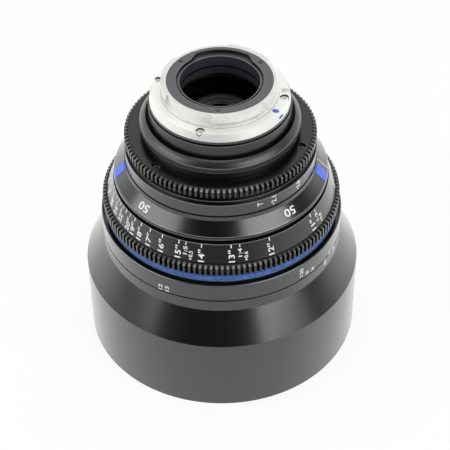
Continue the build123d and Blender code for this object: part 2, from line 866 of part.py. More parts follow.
def z_bell_screw():
    return z_front_ledge - seat_gap


def front_bell():
    """Wide front bell: cylinder, cone and the floor that the front barrel is screwed to."""
    slope = bell_cone_height / (bell_radius - front_band_radius)
    shift = bell_wall * sqrt(1 + slope * slope) / slope
    bore = bell_radius - bell_wall
    z_floor = z_bell_top - bell_floor
    body = turned([
        (bell_radius - edge_break, 0),
        (bell_radius, edge_break),
        (bell_radius, bell_height),
        (front_band_radius, z_bell_top),
        (bell_throat_radius, z_bell_top),
        (bell_throat_radius, z_floor),
        (front_band_radius + bell_floor / slope - shift, z_floor),
        (bore, bell_height - slope * (shift - bell_wall)),
        (bore, 0),
    ])
    hole = screw_hole(barrel_screw, seat_gap, 0)
    return body - around(bell_screw_angles, plate_screw_circle, z_bell_screw(), hole)


def hood_liner():
    """Ribbed cone that leads from the front rim to the throat."""
    top = z_bell_top - bell_floor
    rise = (top - liner_front) / liner_ribs
    step = (liner_mouth_radius - liner_throat_radius) / liner_ribs
    points = []
    for i in range(liner_ribs):
        radius = liner_mouth_radius - i * step
        points += [(radius, liner_front + i * rise), (radius, liner_front + (i + 1) * rise)]
    lip = bell_radius - bell_wall - seat_gap
    points += [
        (liner_throat_radius + liner_wall, top),
        (lip, liner_front + liner_lip_height),
        (lip, liner_front),
    ]
    return turned(points)


def barrel_screws():
    """All the identical small screws of the fixed barrels, each hung from its seat."""
    sunk = cross_screw(barrel_screw)
    standing = Pos(0, 0, barrel_screw[1]) * sunk
    hanging = Rot(180, 0, 0) * standing
    placed = around(index_screw_angles, index_screw_circle, z_index_foot(), hanging)
    placed += around(sleeve_screw_angles, sleeve_screw_circle, z_sleeve_flange, hanging)
    placed += around(plate_screw_angles, plate_screw_circle, z_front_plate, standing)
    placed += around(bell_screw_angles, plate_screw_circle, z_bell_screw(), sunk)
    return group(placed)


def stop_half_angle():
    return degrees(asin(stop_pin_radius / stop_pin_circle)) + stop_margin_angle


def focus_stop_block():
    """Block on the front plate that ends the focus ring's turn both ways."""
    inner = stop_pin_circle - stop_block_width / 2
    low = focus_travel_angle - focus_back_travel_angle + stop_half_angle()
    high = 360 - focus_back_travel_angle - stop_half_angle()
    return sector(inner, inner + stop_block_width, z_front_plate, z_carrier - free_gap, low, high)


# Focus ring
def focus_carrier():
    """Rotating carrier under the focus rings."""
    rim_bore = carrier_radius - carrier_rim_wall
    hub_outer = hub_radius + hub_wall
    body = turned([
        (helicoid_radius + seat_gap, z_web),
        (helicoid_radius + seat_gap, z_web_top),
        (hub_radius, z_web_top),
        (hub_radius, z_focus_top - edge_break),
        (hub_outer, z_focus_top - edge_break),
        (hub_outer, z_web_top),
        (rim_bore, z_web_top),
        (rim_bore, z_focus_top - free_gap),
        (carrier_radius, z_focus_top - free_gap),
        (carrier_radius, z_blue),
        (carrier_flange_radius, z_blue),
        (carrier_flange_radius, z_carrier),
        (rim_bore, z_carrier),
        (rim_bore, z_web),
    ])
    thread = Rot(180, 0, 0) * barrel_thread()
    body -= around(helicoid_screw_angles, helicoid_screw_circle, z_helicoid_flange, thread)
    pin_hole = rod(stop_pin_radius + seat_gap, z_carrier - overrun, z_stop_pin_top())
    return body - place(0, stop_pin_circle, 0) * pin_hole


def z_stop_pin_top():
    return z_front_plate + stop_pin_gap + stop_pin_length


def focus_stop_pin():
    return place(0, stop_pin_circle, 0) * rod(stop_pin_radius, z_front_plate + stop_pin_gap, z_stop_pin_top())


def focus_helicoid():
    """Rotating nut; three left-hand grooves drive the rollers of the optical cell."""
    body = turned([
        (helicoid_bore_radius, z_helicoid),
        (helicoid_radius, z_helicoid),
        (helicoid_radius, z_helicoid_flange),
        (helicoid_flange_radius, z_helicoid_flange),
        (helicoid_flange_radius, z_web),
        (helicoid_radius, z_web),
        (helicoid_radius, z_helicoid_top),
        (helicoid_bore_radius, z_helicoid_top),
    ])
    reach = roller_radius + roller_gap
    middle = (helicoid_bore_radius + groove_depth + sleeve_bore_radius) / 2
    depth = helicoid_bore_radius + groove_depth - sleeve_bore_radius
    margin = degrees((reach + roller_gap) / helicoid_bore_radius)
    turn = focus_travel_angle + 2 * margin
    path = Helix(360 * travel_per_degree, turn * travel_per_degree, middle, lefthand=True)
    section = Plane(origin=path @ 0, x_dir=(1, 0, 0), z_dir=path % 0) * Rectangle(depth, 2 * reach)
    groove = sweep(section, path=path, is_frenet=True)
    start = z_roller - cell_back_travel - margin * travel_per_degree
    for angle in guide_slot_angles:
        body -= Pos(0, 0, start) * Rot(0, 0, angle - 90 + focus_back_travel_angle + margin) * groove
    thread = Rot(180, 0, 0) * barrel_thread()
    return body - around(helicoid_screw_angles, helicoid_screw_circle, z_helicoid_flange, thread)


def helicoid_screws():
    screw = Rot(180, 0, 0) * Pos(0, 0, barrel_screw[1]) * cross_screw(barrel_screw)
    return group(around(helicoid_screw_angles, helicoid_screw_circle, z_helicoid_flange, screw))


def blue_trim_ring():
    bore = carrier_radius + seat_gap
    return turned([
        (bore, z_blue),
        (blue_ring_radius - edge_break, z_blue),
        (blue_ring_radius, z_blue + edge_break),
        (blue_ring_radius, z_focus_gear - edge_break),
        (blue_ring_radius - edge_break, z_focus_gear),
        (bore, z_focus_gear),
    ])


def focus_gear_ring():
    return gear_ring(focus_teeth, carrier_radius + seat_gap, z_focus_gear, z_gear_top)


def focus_scale_ring():
    """Tapered ring for the distance scale."""
    bore = carrier_radius + seat_gap
    return turned([
        (bore, z_gear_top),
        (focus_band_low_radius - focus_band_groove, z_gear_top),
        (focus_band_low_radius - focus_band_groove, z_focus_band),
        (focus_band_low_radius, z_focus_band),
        (focus_band_high_radius, z_focus_top),
        (focus_band_high_radius - edge_break, z_focus_top),
        (bore, z_focus_top - edge_break),
    ])


# Iris ring
def fork_half_angle():
    """Half the angle that the fork's bar spans about the axis."""
    middle = (fork_inner_radius + fork_outer_radius) / 2
    return degrees((drive_pin_radius + running_gap + fork_prong) / middle)


def iris_scale_ring():
    bore = barrel_radius + running_gap
    body = turned([
        (bore, z_iris),
        (iris_band_radius - edge_break, z_iris),
        (iris_band_radius, z_iris + edge_break),
        (iris_band_radius, z_iris_recess),
        (iris_step_radius, z_iris_recess),
        (iris_step_radius, z_iris_recess + iris_step_height),
        (iris_waist_radius, z_iris_recess + iris_step_height),
        (iris_waist_radius, z_iris_gear),
        (bore, z_iris_gear),
    ])
    half = fork_half_angle() + degrees(seat_gap / barrel_radius)
    body -= sector(
        bore - overrun, fork_foot_reach + seat_gap, z_iris_gear - fork_foot_height - seat_gap,
        z_iris_gear + overrun, fork_angle - half, fork_angle + half,
    )
    hole = screw_hole(iris_screw, seat_gap, 0)
    return body - around(iris_screw_angles, iris_screw_circle, z_iris_screw(), hole)


def z_iris_screw():
    return z_iris_top - iris_screw_drop


def iris_gear_ring():
    body = gear_ring(iris_teeth, iris_bore_edge_radius, z_iris_gear, z_iris_top)
    hole = screw_hole(iris_screw, screw_sink, iris_screw_drop + overrun)
    return body - around(iris_screw_angles, iris_screw_circle, z_iris_screw(), hole)


def iris_gear_screws():
    return group(around(iris_screw_angles, iris_screw_circle, z_iris_screw(), cross_screw(iris_screw)))


def iris_fork():
    """Forked bar that turns the drive ring at every place of the optical cell."""
    half = fork_half_angle()
    low = z_drive_pin - cell_back_travel - drive_pin_radius - free_gap
    high = z_drive_pin + cell_forward_travel + drive_pin_radius + free_gap
    start, end = fork_angle - half, fork_angle + half
    slot_width = 2 * (drive_pin_radius + running_gap)
    z_foot = z_iris_gear - fork_foot_height
    body = sector(fork_inner_radius, fork_outer_radius, low - fork_end, high + fork_end, start, end)
    foot_root = fork_outer_radius - fork_prong / 2
    slot_root = fork_inner_radius - overrun
    body += sector(foot_root, fork_foot_reach, z_foot, z_iris_gear - seat_gap, start, end)
    return body - radial_box(slot_width, slot_root, fork_outer_radius, low, high, fork_angle)


# Optical cell
def lens(low, high, curves, clears, radius):
    """Glass turned about Z with flat edges; a positive radius makes a surface bulge outwards."""
    def depth(curve, clear):
        if not curve:
            return 0
        return (abs(curve) - sqrt(curve * curve - clear * clear)) * (1 if curve > 0 else -1)
    low_sag, high_sag = depth(curves[0], clears[0]), depth(curves[1], clears[1])
    low_vertex, high_vertex = (0, low - low_sag), (0, high + high_sag)
    low_clear, high_clear = (clears[0], low), (clears[1], high)
    edges = [surface(low_vertex, low_clear, curves[0], -1)]
    rim = [low_clear, (radius, low), (radius, high), high_clear]
    edges += [Line(start, end) for start, end in zip(rim, rim[1:])]
    edges += [surface(high_clear, high_vertex, curves[1], 1), Line(high_vertex, low_vertex)]
    return revolve(Plane.XZ * make_face(edges), axis=Axis.Z)


def surface(start, end, curve, side):
    """Meridian of one lens surface between its vertex and its clear edge."""
    if not curve:
        return Line(start, end)
    edge = end if start[0] == 0 else start
    vertex = start if start[0] == 0 else end
    centre = vertex[1] - side * curve
    half = asin(edge[0] / abs(curve)) / 2
    middle = (abs(curve) * sin(half), centre + side * curve * cos(half))
    return ThreePointArc(start, middle, end)


def front_cell():
    """Front half of the optical cell, with the bearing band that slides in the guide sleeve."""
    body = turned([
        (front_ring_radius, z_cell),
        (cell_front_radius, z_cell),
        (cell_front_radius, z_cell + cell_bearing_height),
        (cell_radius, z_cell + cell_bearing_height),
        (cell_radius, z_cell_split),
        (cell_stop_radius, z_cell_split),
        (cell_stop_radius, z_front_stop),
        (front_doublet_radius + glass_play, z_front_stop),
        (front_doublet_radius + glass_play, z_front_ledge_glass),
        (front_glass_radius + glass_play, z_front_ledge_glass),
        (front_glass_radius + glass_play, z_front_glass),
        (front_ring_radius, z_front_glass),
    ])
    root = front_ring_radius + roller_root
    for angle in guide_slot_angles:
        body -= radial_rod(roller_radius + seat_gap, root, sleeve_radius, z_roller, angle)
    return body


def cell_rollers():
    """Three rollers that run in the straight slots and in the helical grooves."""
    start = front_ring_radius + roller_root + seat_gap
    end = helicoid_bore_radius + groove_depth - roller_gap
    return group([radial_rod(roller_radius, start, end, z_roller, angle) for angle in guide_slot_angles])


def rear_cell():
    """Rear half of the optical cell: iris chamber, cone and snout."""
    bore = rear_glass_radius + glass_play
    body = turned([
        (chamber_radius, z_cell_split),
        (cell_radius, z_cell_split),
        (cell_radius, z_cell_cone),
        (snout_radius, z_snout),
        (snout_radius, z_snout_top),
        (bore, z_snout_top),
        (bore, z_rear_inner),
        (rear_lip_radius, z_rear_inner),
        (rear_lip_radius, z_rear_lip),
        (rear_throat_radius, z_rear_seat),
        (rear_doublet_radius + glass_play, z_rear_seat),
        (rear_doublet_radius + glass_play, z_chamber_top),
        (chamber_radius, z_chamber_top),
    ])
    half = degrees((drive_pin_radius + free_gap) / cell_radius)
    reach = drive_pin_radius + free_gap
    body -= sector(
        chamber_radius - overrun, cell_radius + overrun, z_drive_pin - reach, z_drive_pin + reach,
        fork_angle - iris_close_angle - half, fork_angle + iris_open_angle + half,
    )
    return body


def front_retaining_ring():
    bore = front_glass_clear + seat_gap
    outer = front_ring_radius - seat_gap
    return turned([
        (bore + front_ring_height / 2, z_cell),
        (outer, z_cell),
        (outer, z_front_glass),
        (bore, z_front_glass),
    ])


def front_spacer():
    outer = front_doublet_radius
    return tube(outer - front_spacer_wall, outer, z_front_ledge_glass + seat_gap, z_front_doublet)


def middle_retaining_ring():
    return tube(middle_ring_bore_radius, rear_doublet_radius, z_chamber_top, z_rear_doublet)


def rear_spacer():
    outer = rear_glass_radius
    return tube(outer - rear_spacer_wall, outer, z_rear_spacer, z_rear_outer)


def rear_retaining_ring():
    """Ring with spanner holes that shows in the throat of the mount."""
    top = z_snout_top + rear_ring_rise
    body = turned([
        (rear_ring_bore_radius, z_rear_ring),
        (rear_glass_radius, z_rear_ring),
        (rear_glass_radius, z_snout_top),
        (rear_brim_radius, z_snout_top),
        (rear_brim_radius, z_snout_top + rear_brim_height),
        (rear_ring_radius, z_snout_top + rear_brim_height),
        (rear_ring_radius, top),
        (rear_ring_face_bore_radius, top),
        (rear_ring_face_bore_radius, top - rear_ring_face_height),
        (rear_ring_lip_radius, top - rear_ring_face_height),
        (rear_ring_lip_radius, top - rear_ring_face_height - rear_ring_lip_height),
    ])
    spanner_hole = rod(spanner_hole_radius, top - spanner_hole_depth, top + overrun)
    return body - around(spanner_angles, spanner_circle, 0, spanner_hole)


def front_element():
    clears = (front_glass_clear, front_glass_clear)
    return lens(z_front_glass, z_front_ledge_glass, front_glass_curves, clears, front_glass_radius)


def front_doublet():
    """Two cemented glasses in front of the iris."""
    split = z_front_doublet + front_doublet_split
    clears = (front_doublet_clear, front_doublet_rear_clear)
    first = lens(z_front_doublet, split, (front_doublet_curves[0], 0), clears, front_doublet_radius)
    second = lens(split + cement, z_front_stop, (0, front_doublet_curves[1]), clears, front_doublet_radius)
    return group([first, second])


def rear_doublet():
    """Two cemented glasses behind the iris."""
    split = z_rear_doublet + rear_doublet_split
    clears = (rear_doublet_front_clear, rear_doublet_clear)
    first = lens(z_rear_doublet, split, (rear_doublet_curves[0], 0), clears, rear_doublet_radius)
    second = lens(split + cement, z_rear_seat, (0, rear_doublet_curves[1]), clears, rear_doublet_radius)
    return group([first, second])


def rear_inner_element():
    clears = (rear_glass_clear, rear_glass_clear)
    return lens(z_rear_inner, z_rear_spacer, rear_inner_curves, clears, rear_glass_radius)


def rear_outer_element():
    clears = (rear_glass_clear, rear_glass_clear)
    return lens(z_rear_outer, z_rear_ring, rear_outer_curves, clears, rear_glass_radius)


# Iris
def blade_angle(index):
    return 360 / blade_count * index


def iris_base_plate():
    """Plate with one post for each blade."""
    z_plate = z_cell_split + iris_plate_thickness
    body = tube(iris_plate_bore_radius, chamber_radius - seat_gap, z_cell_split, z_plate)
    post = rod(blade_post_radius, z_plate - iris_plate_thickness / 2, z_blade_ring - iris_play / 2)
    return body + around([blade_angle(i) for i in range(blade_count)], blade_post_circle, 0, post)


def iris_blade(index):
    """Blade number index at its own level, swung to its place at rest."""
    low = z_blades + index * blade_pitch
    middle = (blade_inner_radius + blade_outer_radius) / 2
    half_width = (blade_outer_radius - blade_inner_radius) / 2
    high = low + blade_thickness
    body = sector(blade_inner_radius, blade_outer_radius, low, high, 0, blade_sweep_angle)
    body += place(blade_sweep_angle, middle, 0) * rod(half_width, low, high)
    body += place(0, blade_post_circle, 0) * rod(blade_eye_radius, low, high)
    body += radial_box(2 * blade_ear_radius, middle, blade_pin_circle, low, high, 0)
    body += place(0, blade_pin_circle, 0) * rod(blade_ear_radius, low, high)
    body += place(0, blade_pin_circle, 0) * rod(blade_pin_radius, low, z_blade_ring + blade_ring_thickness)
    eye = rod(blade_post_radius + running_gap, low - overrun, high + overrun)
    body -= place(0, blade_post_circle, 0) * eye
    post = Pos(*dial_point(blade_post_circle, 0))
    swung = post * Rot(0, 0, blade_rest_swing) * post.inverse() * body
    return Rot(0, 0, blade_angle(index)) * swung


def iris_blade_ring():
    """Slotted ring whose slots swing the blades by their pins."""
    top = z_blade_ring + blade_ring_thickness
    body = tube(blade_ring_bore_radius, chamber_radius - 2 * running_gap, z_blade_ring, top)
    reach = blade_pin_radius + slot_play
    arm = blade_pin_circle - blade_post_circle
    swing = radians(blade_swing_angle)
    inner = sqrt(blade_post_circle ** 2 + arm ** 2 + 2 * blade_post_circle * arm * cos(swing))
    rest_turn = blade_ring_turn_angle * blade_rest_swing / blade_swing_angle
    for i in range(blade_count):
        body -= radial_box(
            2 * reach, inner - reach, blade_pin_circle + reach,
            z_blade_ring - overrun, top + overrun, blade_angle(i) + rest_turn)
    return body


def iris_drive_ring():
    """Ring in the cell with the pin that the iris fork turns."""
    top = z_drive_ring + drive_ring_thickness
    body = tube(drive_ring_bore_radius, chamber_radius - 2 * running_gap, z_drive_ring, top)
    root = chamber_radius - drive_pin_radius
    return body + radial_rod(drive_pin_radius, root, drive_pin_reach, z_drive_pin, fork_angle)


pieces = {
    "mount_ring": mount_ring,
    "mount_screws": mount_screws,
    "mount_shim": mount_shim,
    "light_stop": light_stop,
    "rear_baffle": rear_baffle,
    "baffle_screws": baffle_screws,
    "mount_base": mount_base,
    "rear_collar": rear_collar,
    "main_barrel": main_barrel,
    "index_ring": index_ring,
    "guide_sleeve": guide_sleeve,
    "front_plate": front_plate,
    "front_barrel": front_barrel,
    "front_bell": front_bell,
    "hood_liner": hood_liner,
    "barrel_screws": barrel_screws,
    "focus_stop_block": focus_stop_block,
    "focus_carrier": focus_carrier,
    "focus_stop_pin": focus_stop_pin,
    "focus_helicoid": focus_helicoid,
    "helicoid_screws": helicoid_screws,
    "blue_trim_ring": blue_trim_ring,
    "focus_gear_ring": focus_gear_ring,
    "focus_scale_ring": focus_scale_ring,
    "iris_scale_ring": iris_scale_ring,
    "iris_gear_ring": iris_gear_ring,
    "iris_gear_screws": iris_gear_screws,
    "iris_fork": iris_fork,
    "front_cell": front_cell,
    "cell_rollers": cell_rollers,
    "rear_cell": rear_cell,
    "front_retaining_ring": front_retaining_ring,
    "front_spacer": front_spacer,
    "middle_retaining_ring": middle_retaining_ring,
    "rear_spacer": rear_spacer,
    "rear_retaining_ring": rear_retaining_ring,
    "front_element": front_element,
    "front_doublet": front_doublet,
    "rear_doublet": rear_doublet,
    "rear_inner_element": rear_inner_element,
    "rear_outer_element": rear_outer_element,
    "iris_base_plate": iris_base_plate,
    "iris_blade_ring": iris_blade_ring,
    "iris_drive_ring": iris_drive_ring,
}

os.makedirs("parts", exist_ok=True)
for name, make in pieces.items():
    export_step(make(), f"parts/{name}.step")
for number in range(blade_count):
    export_step(iris_blade(number), f"parts/iris_blade_{number + 1:02d}.step")
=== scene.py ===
from math import ceil, cos, pi, radians, sin

import bmesh
import bpy
from mathutils import Matrix, Vector


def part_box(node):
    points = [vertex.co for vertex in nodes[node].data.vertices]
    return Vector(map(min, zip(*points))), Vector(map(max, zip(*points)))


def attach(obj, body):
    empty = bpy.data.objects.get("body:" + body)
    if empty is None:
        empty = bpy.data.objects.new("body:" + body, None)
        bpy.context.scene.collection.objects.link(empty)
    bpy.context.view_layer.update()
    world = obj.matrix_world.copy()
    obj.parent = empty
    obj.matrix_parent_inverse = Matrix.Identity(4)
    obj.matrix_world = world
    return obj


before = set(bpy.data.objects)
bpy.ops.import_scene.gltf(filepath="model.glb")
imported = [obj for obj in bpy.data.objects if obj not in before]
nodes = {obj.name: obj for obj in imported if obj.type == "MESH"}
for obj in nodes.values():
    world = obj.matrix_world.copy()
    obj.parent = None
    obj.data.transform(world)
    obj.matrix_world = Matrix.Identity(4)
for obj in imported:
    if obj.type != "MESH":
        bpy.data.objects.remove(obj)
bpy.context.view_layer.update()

# Camera
# A long lens looks down at the object from the front, 43 degrees above the table, with the
# frame turned by a small angle. Its place was fitted to the circles of the object.
mm = 0.001
photo_side = 450
camera_focal_pixels = 1512.7
camera_distance = 744.5 * mm
camera_aim = 56.0 * mm
camera_rise = radians(43.36)
camera_turn = radians(0.125)
camera_roll = radians(-0.75)
sensor_width = 36.0
nearest_seen = 50 * mm

eye = Vector((0, -camera_distance * cos(camera_rise), camera_aim + camera_distance * sin(camera_rise)))
level = Vector((1, 0, 0))
ahead = Vector((0, cos(camera_rise), -sin(camera_rise)))
sight = ahead * cos(camera_turn) + level * sin(camera_turn)
side = level * cos(camera_turn) - ahead * sin(camera_turn)
top = side.cross(sight)
side_rolled = side * cos(camera_roll) + top * sin(camera_roll)
top_rolled = top * cos(camera_roll) - side * sin(camera_roll)
facing = Matrix((side_rolled, top_rolled, -sight)).transposed().to_4x4()
lens = bpy.data.cameras.new("camera")
lens.sensor_width = sensor_width
lens.lens = camera_focal_pixels / photo_side * sensor_width
lens.clip_start = nearest_seen
camera = bpy.data.objects.new("camera", lens)
bpy.context.scene.collection.objects.link(camera)
camera.matrix_world = Matrix.Translation(eye) @ facing
bpy.context.scene.camera = camera
bpy.context.scene.view_settings.view_transform = "Standard"


# Table and studio light
# A white table stands in a white room. One softbox hangs overhead, one stands at each side of
# the front, and the room is dark ahead of the object, which keeps its black parts black.
class Value:
    """A socket that carries a value; arithmetic on it adds Math nodes."""

    def __init__(self, finish, socket):
        self.finish = finish
        self.socket = socket

    def maths(self, operation, *numbers):
        return self.finish.node("Math", {"operation": operation}, dict(enumerate(numbers)))

    def __add__(self, other):
        return self.maths("ADD", self, other)

    def __radd__(self, other):
        return self.maths("ADD", other, self)

    def __sub__(self, other):
        return self.maths("SUBTRACT", self, other)

    def __rsub__(self, other):
        return self.maths("SUBTRACT", other, self)

    def __mul__(self, other):
        return self.maths("MULTIPLY", self, other)

    def __rmul__(self, other):
        return self.maths("MULTIPLY", other, self)

    def __truediv__(self, other):
        return self.maths("DIVIDE", self, other)

    def __pow__(self, other):
        return self.maths("POWER", self, other)

    def most(self, other):
        return self.maths("MAXIMUM", self, other)

    def rise(self, low, high):
        """Zero below low, one above high and smooth between them."""
        settings = {"interpolation_type": "SMOOTHSTEP", "clamp": True}
        return self.finish.node("MapRange", settings, {"Value": self, "From Min": low, "From Max": high})

    def near(self, place, width):
        """One at a place and zero from a width away from it."""
        return 1 - self.maths("ABSOLUTE", self - place).rise(0.0, width)


class Finish:
    """One material or world and the nodes that feed it."""

    def __init__(self, name, kind="materials"):
        self.block = getattr(bpy.data, kind).new(name)
        self.block.use_nodes = True
        self.tree = self.block.node_tree
        self.tree.nodes.clear()
        outputs = {"materials": "OutputMaterial", "worlds": "OutputWorld"}
        self.output = self.tree.nodes.new("ShaderNode" + outputs[kind])

    def node(self, kind, settings=None, values=None, output=0):
        """Adds a node, sets it up, then fills its sockets with numbers or links."""
        added = self.tree.nodes.new("ShaderNode" + kind)
        for name, setting in (settings or {}).items():
            setattr(added, name, setting)
        for key, value in (values or {}).items():
            if isinstance(value, Value):
                self.tree.links.new(value.socket, added.inputs[key])
            elif added.inputs[key].type == "RGBA":
                added.inputs[key].default_value = (*value, 1.0)
            else:
                added.inputs[key].default_value = value
        return Value(self, added.outputs[output])

    def end(self, shader):
        self.tree.links.new(shader.socket, self.output.inputs["Surface"])
        return self.block

    def principled(self, values):
        """Ends the material in one Principled shader."""
        return self.end(self.node("BsdfPrincipled", None, values))

    def mixed(self, factor, first, second):
        """Ends in a shader that runs from first to second as factor goes from 0 to 1."""
        return self.end(self.node("MixShader", None, {0: factor, 1: first, 2: second}))

    def blend(self, factor, first, second):
        """Colour that runs from first to second as factor goes from 0 to 1."""
        factor_input, first_colour, second_colour, mixed_colour = 0, 6, 7, 2
        values = {factor_input: factor, first_colour: first, second_colour: second}
        return self.node("Mix", {"data_type": "RGBA"}, values, output=mixed_colour)

    def place(self, system="Object"):
        """Coordinates as three values."""
        where = self.node("TexCoord", output=system)
        return [self.node("SeparateXYZ", None, {"Vector": where}, output=axis) for axis in "XYZ"]


floor_size = 8.0
floor_drop = 0.1 * mm
floor_tone = (0.86, 0.86, 0.86)
floor_white = 1.0
floor_glow_share = 0.9
floor_mirrored = 0.95
floor_mirrored_back = 0.35
floor_dark_from = -150 * mm
floor_dark_to = -1100 * mm
floor_bright_from = -90 * mm
floor_bright_to = 150 * mm
room_dark = 0.01
room_bright = 1.1
room_dark_ahead = -0.1
room_bright_behind = 0.55
backdrop_white = 1.0
light_tone = (1, 1, 1)
lamp_aim = 90 * mm


def softbox(name, dial, rise, distance, width, height, brightness):
    """Rectangular lamp that faces the object; brightness is the radiance of its face."""
    lamp = bpy.data.lights.new(name, "AREA")
    lamp.shape = "RECTANGLE"
    lamp.size = width
    lamp.size_y = height
    lamp.energy = brightness * pi * width * height
    placed = bpy.data.objects.new(name, lamp)
    bpy.context.scene.collection.objects.link(placed)
    turn, lift = radians(dial), radians(rise)
    direction = Vector((sin(turn) * cos(lift), -cos(turn) * cos(lift), sin(lift)))
    turned = direction.to_track_quat("Z", "Y").to_matrix().to_4x4()
    placed.matrix_world = Matrix.Translation(direction * distance + Vector((0, 0, lamp_aim))) @ turned


softbox("lamp_above", dial=0, rise=88, distance=1.2, width=0.8, height=0.8, brightness=2.4)
softbox("lamp_right", dial=48, rise=27, distance=1.4, width=1.05, height=1.0, brightness=4.0)
softbox("lamp_left", dial=-73, rise=27, distance=1.4, width=1.15, height=1.0, brightness=3.2)

paper = Finish("table_white")
mirrored = paper.node("LightPath", output="Is Glossy Ray")
seen_through = paper.node("LightPath", output="Is Transmission Ray")
seen = paper.node("LightPath", output="Is Camera Ray").most(seen_through)
_, y, _ = paper.place()
# Painted reflection: in glossy rays the table glows, dark far ahead of the object and brighter toward the
# back.
painted_back_glow = floor_mirrored_back * y.rise(floor_bright_from, floor_bright_to)
painted_reflection_glow = y.rise(floor_dark_to, floor_dark_from) * (floor_mirrored + painted_back_glow)
strength = mirrored * painted_reflection_glow + seen * floor_white
sheet_shader = paper.node("BsdfDiffuse", None, {"Color": floor_tone})
glow = paper.node("Emission", None, {"Color": light_tone, "Strength": strength})
paper.mixed(seen * floor_glow_share + mirrored, sheet_shader, glow)
bpy.ops.mesh.primitive_plane_add(size=floor_size, location=(0, 0, -floor_drop))
floor = bpy.context.object
floor.name = "table"
floor.data.materials.append(paper.block)

studio = Finish("studio", "worlds")
_, y, _ = studio.place("Generated")
room_level = y.rise(room_dark_ahead, room_bright_behind) * (room_bright - room_dark) + room_dark
room = studio.node("Background", None, {"Color": light_tone, "Strength": room_level})
backdrop = studio.node("Background", None, {"Color": light_tone, "Strength": backdrop_white})
studio.mixed(studio.node("LightPath", output="Is Camera Ray"), room, backdrop)
bpy.context.scene.world = studio.block

# Front bell
# One aluminium turning, a cylinder that closes in a cone. It is cut with a fine feed and
# anodised black, which leaves faint lines round the axis under a satin sheen.
per_mm = 1000.0
plain_detail = 2.0
cloud_detail = 3.0
lathe_drift = 0.004


def turned_place(finish):
    """Place about the axis in millimetres: x, y, radius and height."""
    x, y, z = [length * per_mm for length in finish.place()]
    return x, y, (x * x + y * y) ** 0.5, z


def vector(finish, x, y, z):
    return finish.node("CombineXYZ", None, {"X": x, "Y": y, "Z": z})


def grain(finish, where, fineness, detail=plain_detail):
    """Noise with a fineness in grains per millimetre."""
    return finish.node("TexNoise", None, {"Vector": where, "Scale": fineness, "Detail": detail})


def cut_lines(finish, feed, x, y, radius, z):
    """Marks of the lathe round the axis, on barrels, faces and cones alike."""
    along = vector(finish, x * lathe_drift, y * lathe_drift, (z - radius) / feed)
    return grain(finish, along, 1.0, cloud_detail)


def bump(finish, height, strength, depth):
    return finish.node("Bump", None, {"Strength": strength, "Distance": depth, "Height": height})


def near_circles(radius, z, edges, width):
    """Mask of the places within a width of circles, each a radius and a height in millimetres."""
    mask = None
    for edge_radius, edge_height in edges:
        away = ((radius - edge_radius) ** 2 + (z - edge_height) ** 2) ** 0.5
        line = 1 - away.rise(0.0, width)
        mask = line if mask is None else mask.most(line)
    return mask


def scaled(tone, share):
    """Tone made darker or paler."""
    return tuple(share * part for part in tone)


anodic_index = 1.5
sealed_index = 1.5
anodic_black = (0.0032, 0.0032, 0.0034)
dye_darkest = 0.75
dye_palest = 1.3
edge_wear_and_highlight = (0.3, 0.3, 0.3)
edge_pale_least = 0.45
edge_pale_patchy = 0.9
dust_tone = (0.16, 0.16, 0.155)
dust_fineness = 1.3
dust_from = 0.79
dust_full = 0.83
black_feed = 0.35
black_cloud_fineness = 0.09
etch_fineness = 9.0
cut_height = 0.5
etch_height = 0.25
black_relief = 0.2
black_depth = 0.004 * mm
cloud_dulls = 0.08
cut_dulls = 0.06
dulled_mean = 0.07
coat_smoother = 0.75


def anodised(name, tone, roughness, edges=(), edge_width=0.3, seal=1.0):
    """Dyed and sealed aluminium with lathe marks, a fine etch, a little dust, and edges paled by wear and
    painted highlight.
    """
    finish = Finish(name)
    x, y, radius, z = turned_place(finish)
    where = vector(finish, x, y, z)
    cut = cut_lines(finish, black_feed, x, y, radius, z)
    cloud = grain(finish, where, black_cloud_fineness, cloud_detail)
    etch = grain(finish, where, etch_fineness)
    dust = grain(finish, where, dust_fineness).rise(dust_from, dust_full)
    shade = finish.blend((cloud + cut) / 2, scaled(tone, dye_darkest), scaled(tone, dye_palest))
    shade = finish.blend(dust, shade, dust_tone)
    if edges:
        # Pale lines along the edges: partly rubbed bare, partly a painted highlight where they catch the
        # light.
        pale_edges = near_circles(radius, z, edges, edge_width) * (edge_pale_least + cloud * edge_pale_patchy)
        shade = finish.blend(pale_edges, shade, edge_wear_and_highlight)
    values = {
        "Base Color": shade,
        "Roughness": cloud * cloud_dulls + cut * cut_dulls + (roughness - dulled_mean),
        "IOR": anodic_index,
        "Coat Weight": seal,
        "Coat Roughness": roughness * coat_smoother,
        "Coat IOR": sealed_index,
        "Normal": bump(finish, cut * cut_height + etch * etch_height, black_relief, black_depth),
    }
    return finish.principled(values)


def dress(finish, *names):
    """Gives nodes of the model their finish."""
    for name in names:
        for place in nodes[name].material_slots:
            place.material = finish


dress(anodised("bell_black", anodic_black, roughness=0.3), "front_bell")

# Liner and front plate
# A ribbed cone inside the bell keeps stray light off the glass, and the plate behind it holds
# the bell and the guide sleeve. They are dull black, as are the cell and the main barrel.
inner_tone = (0.004, 0.004, 0.004)
inner_black = anodised("inner_black", inner_tone, roughness=0.5, seal=0.3)
dress(inner_black, "hood_liner", "front_plate", "guide_sleeve", "main_barrel")
dress(inner_black, "focus_stop_block", "focus_carrier")


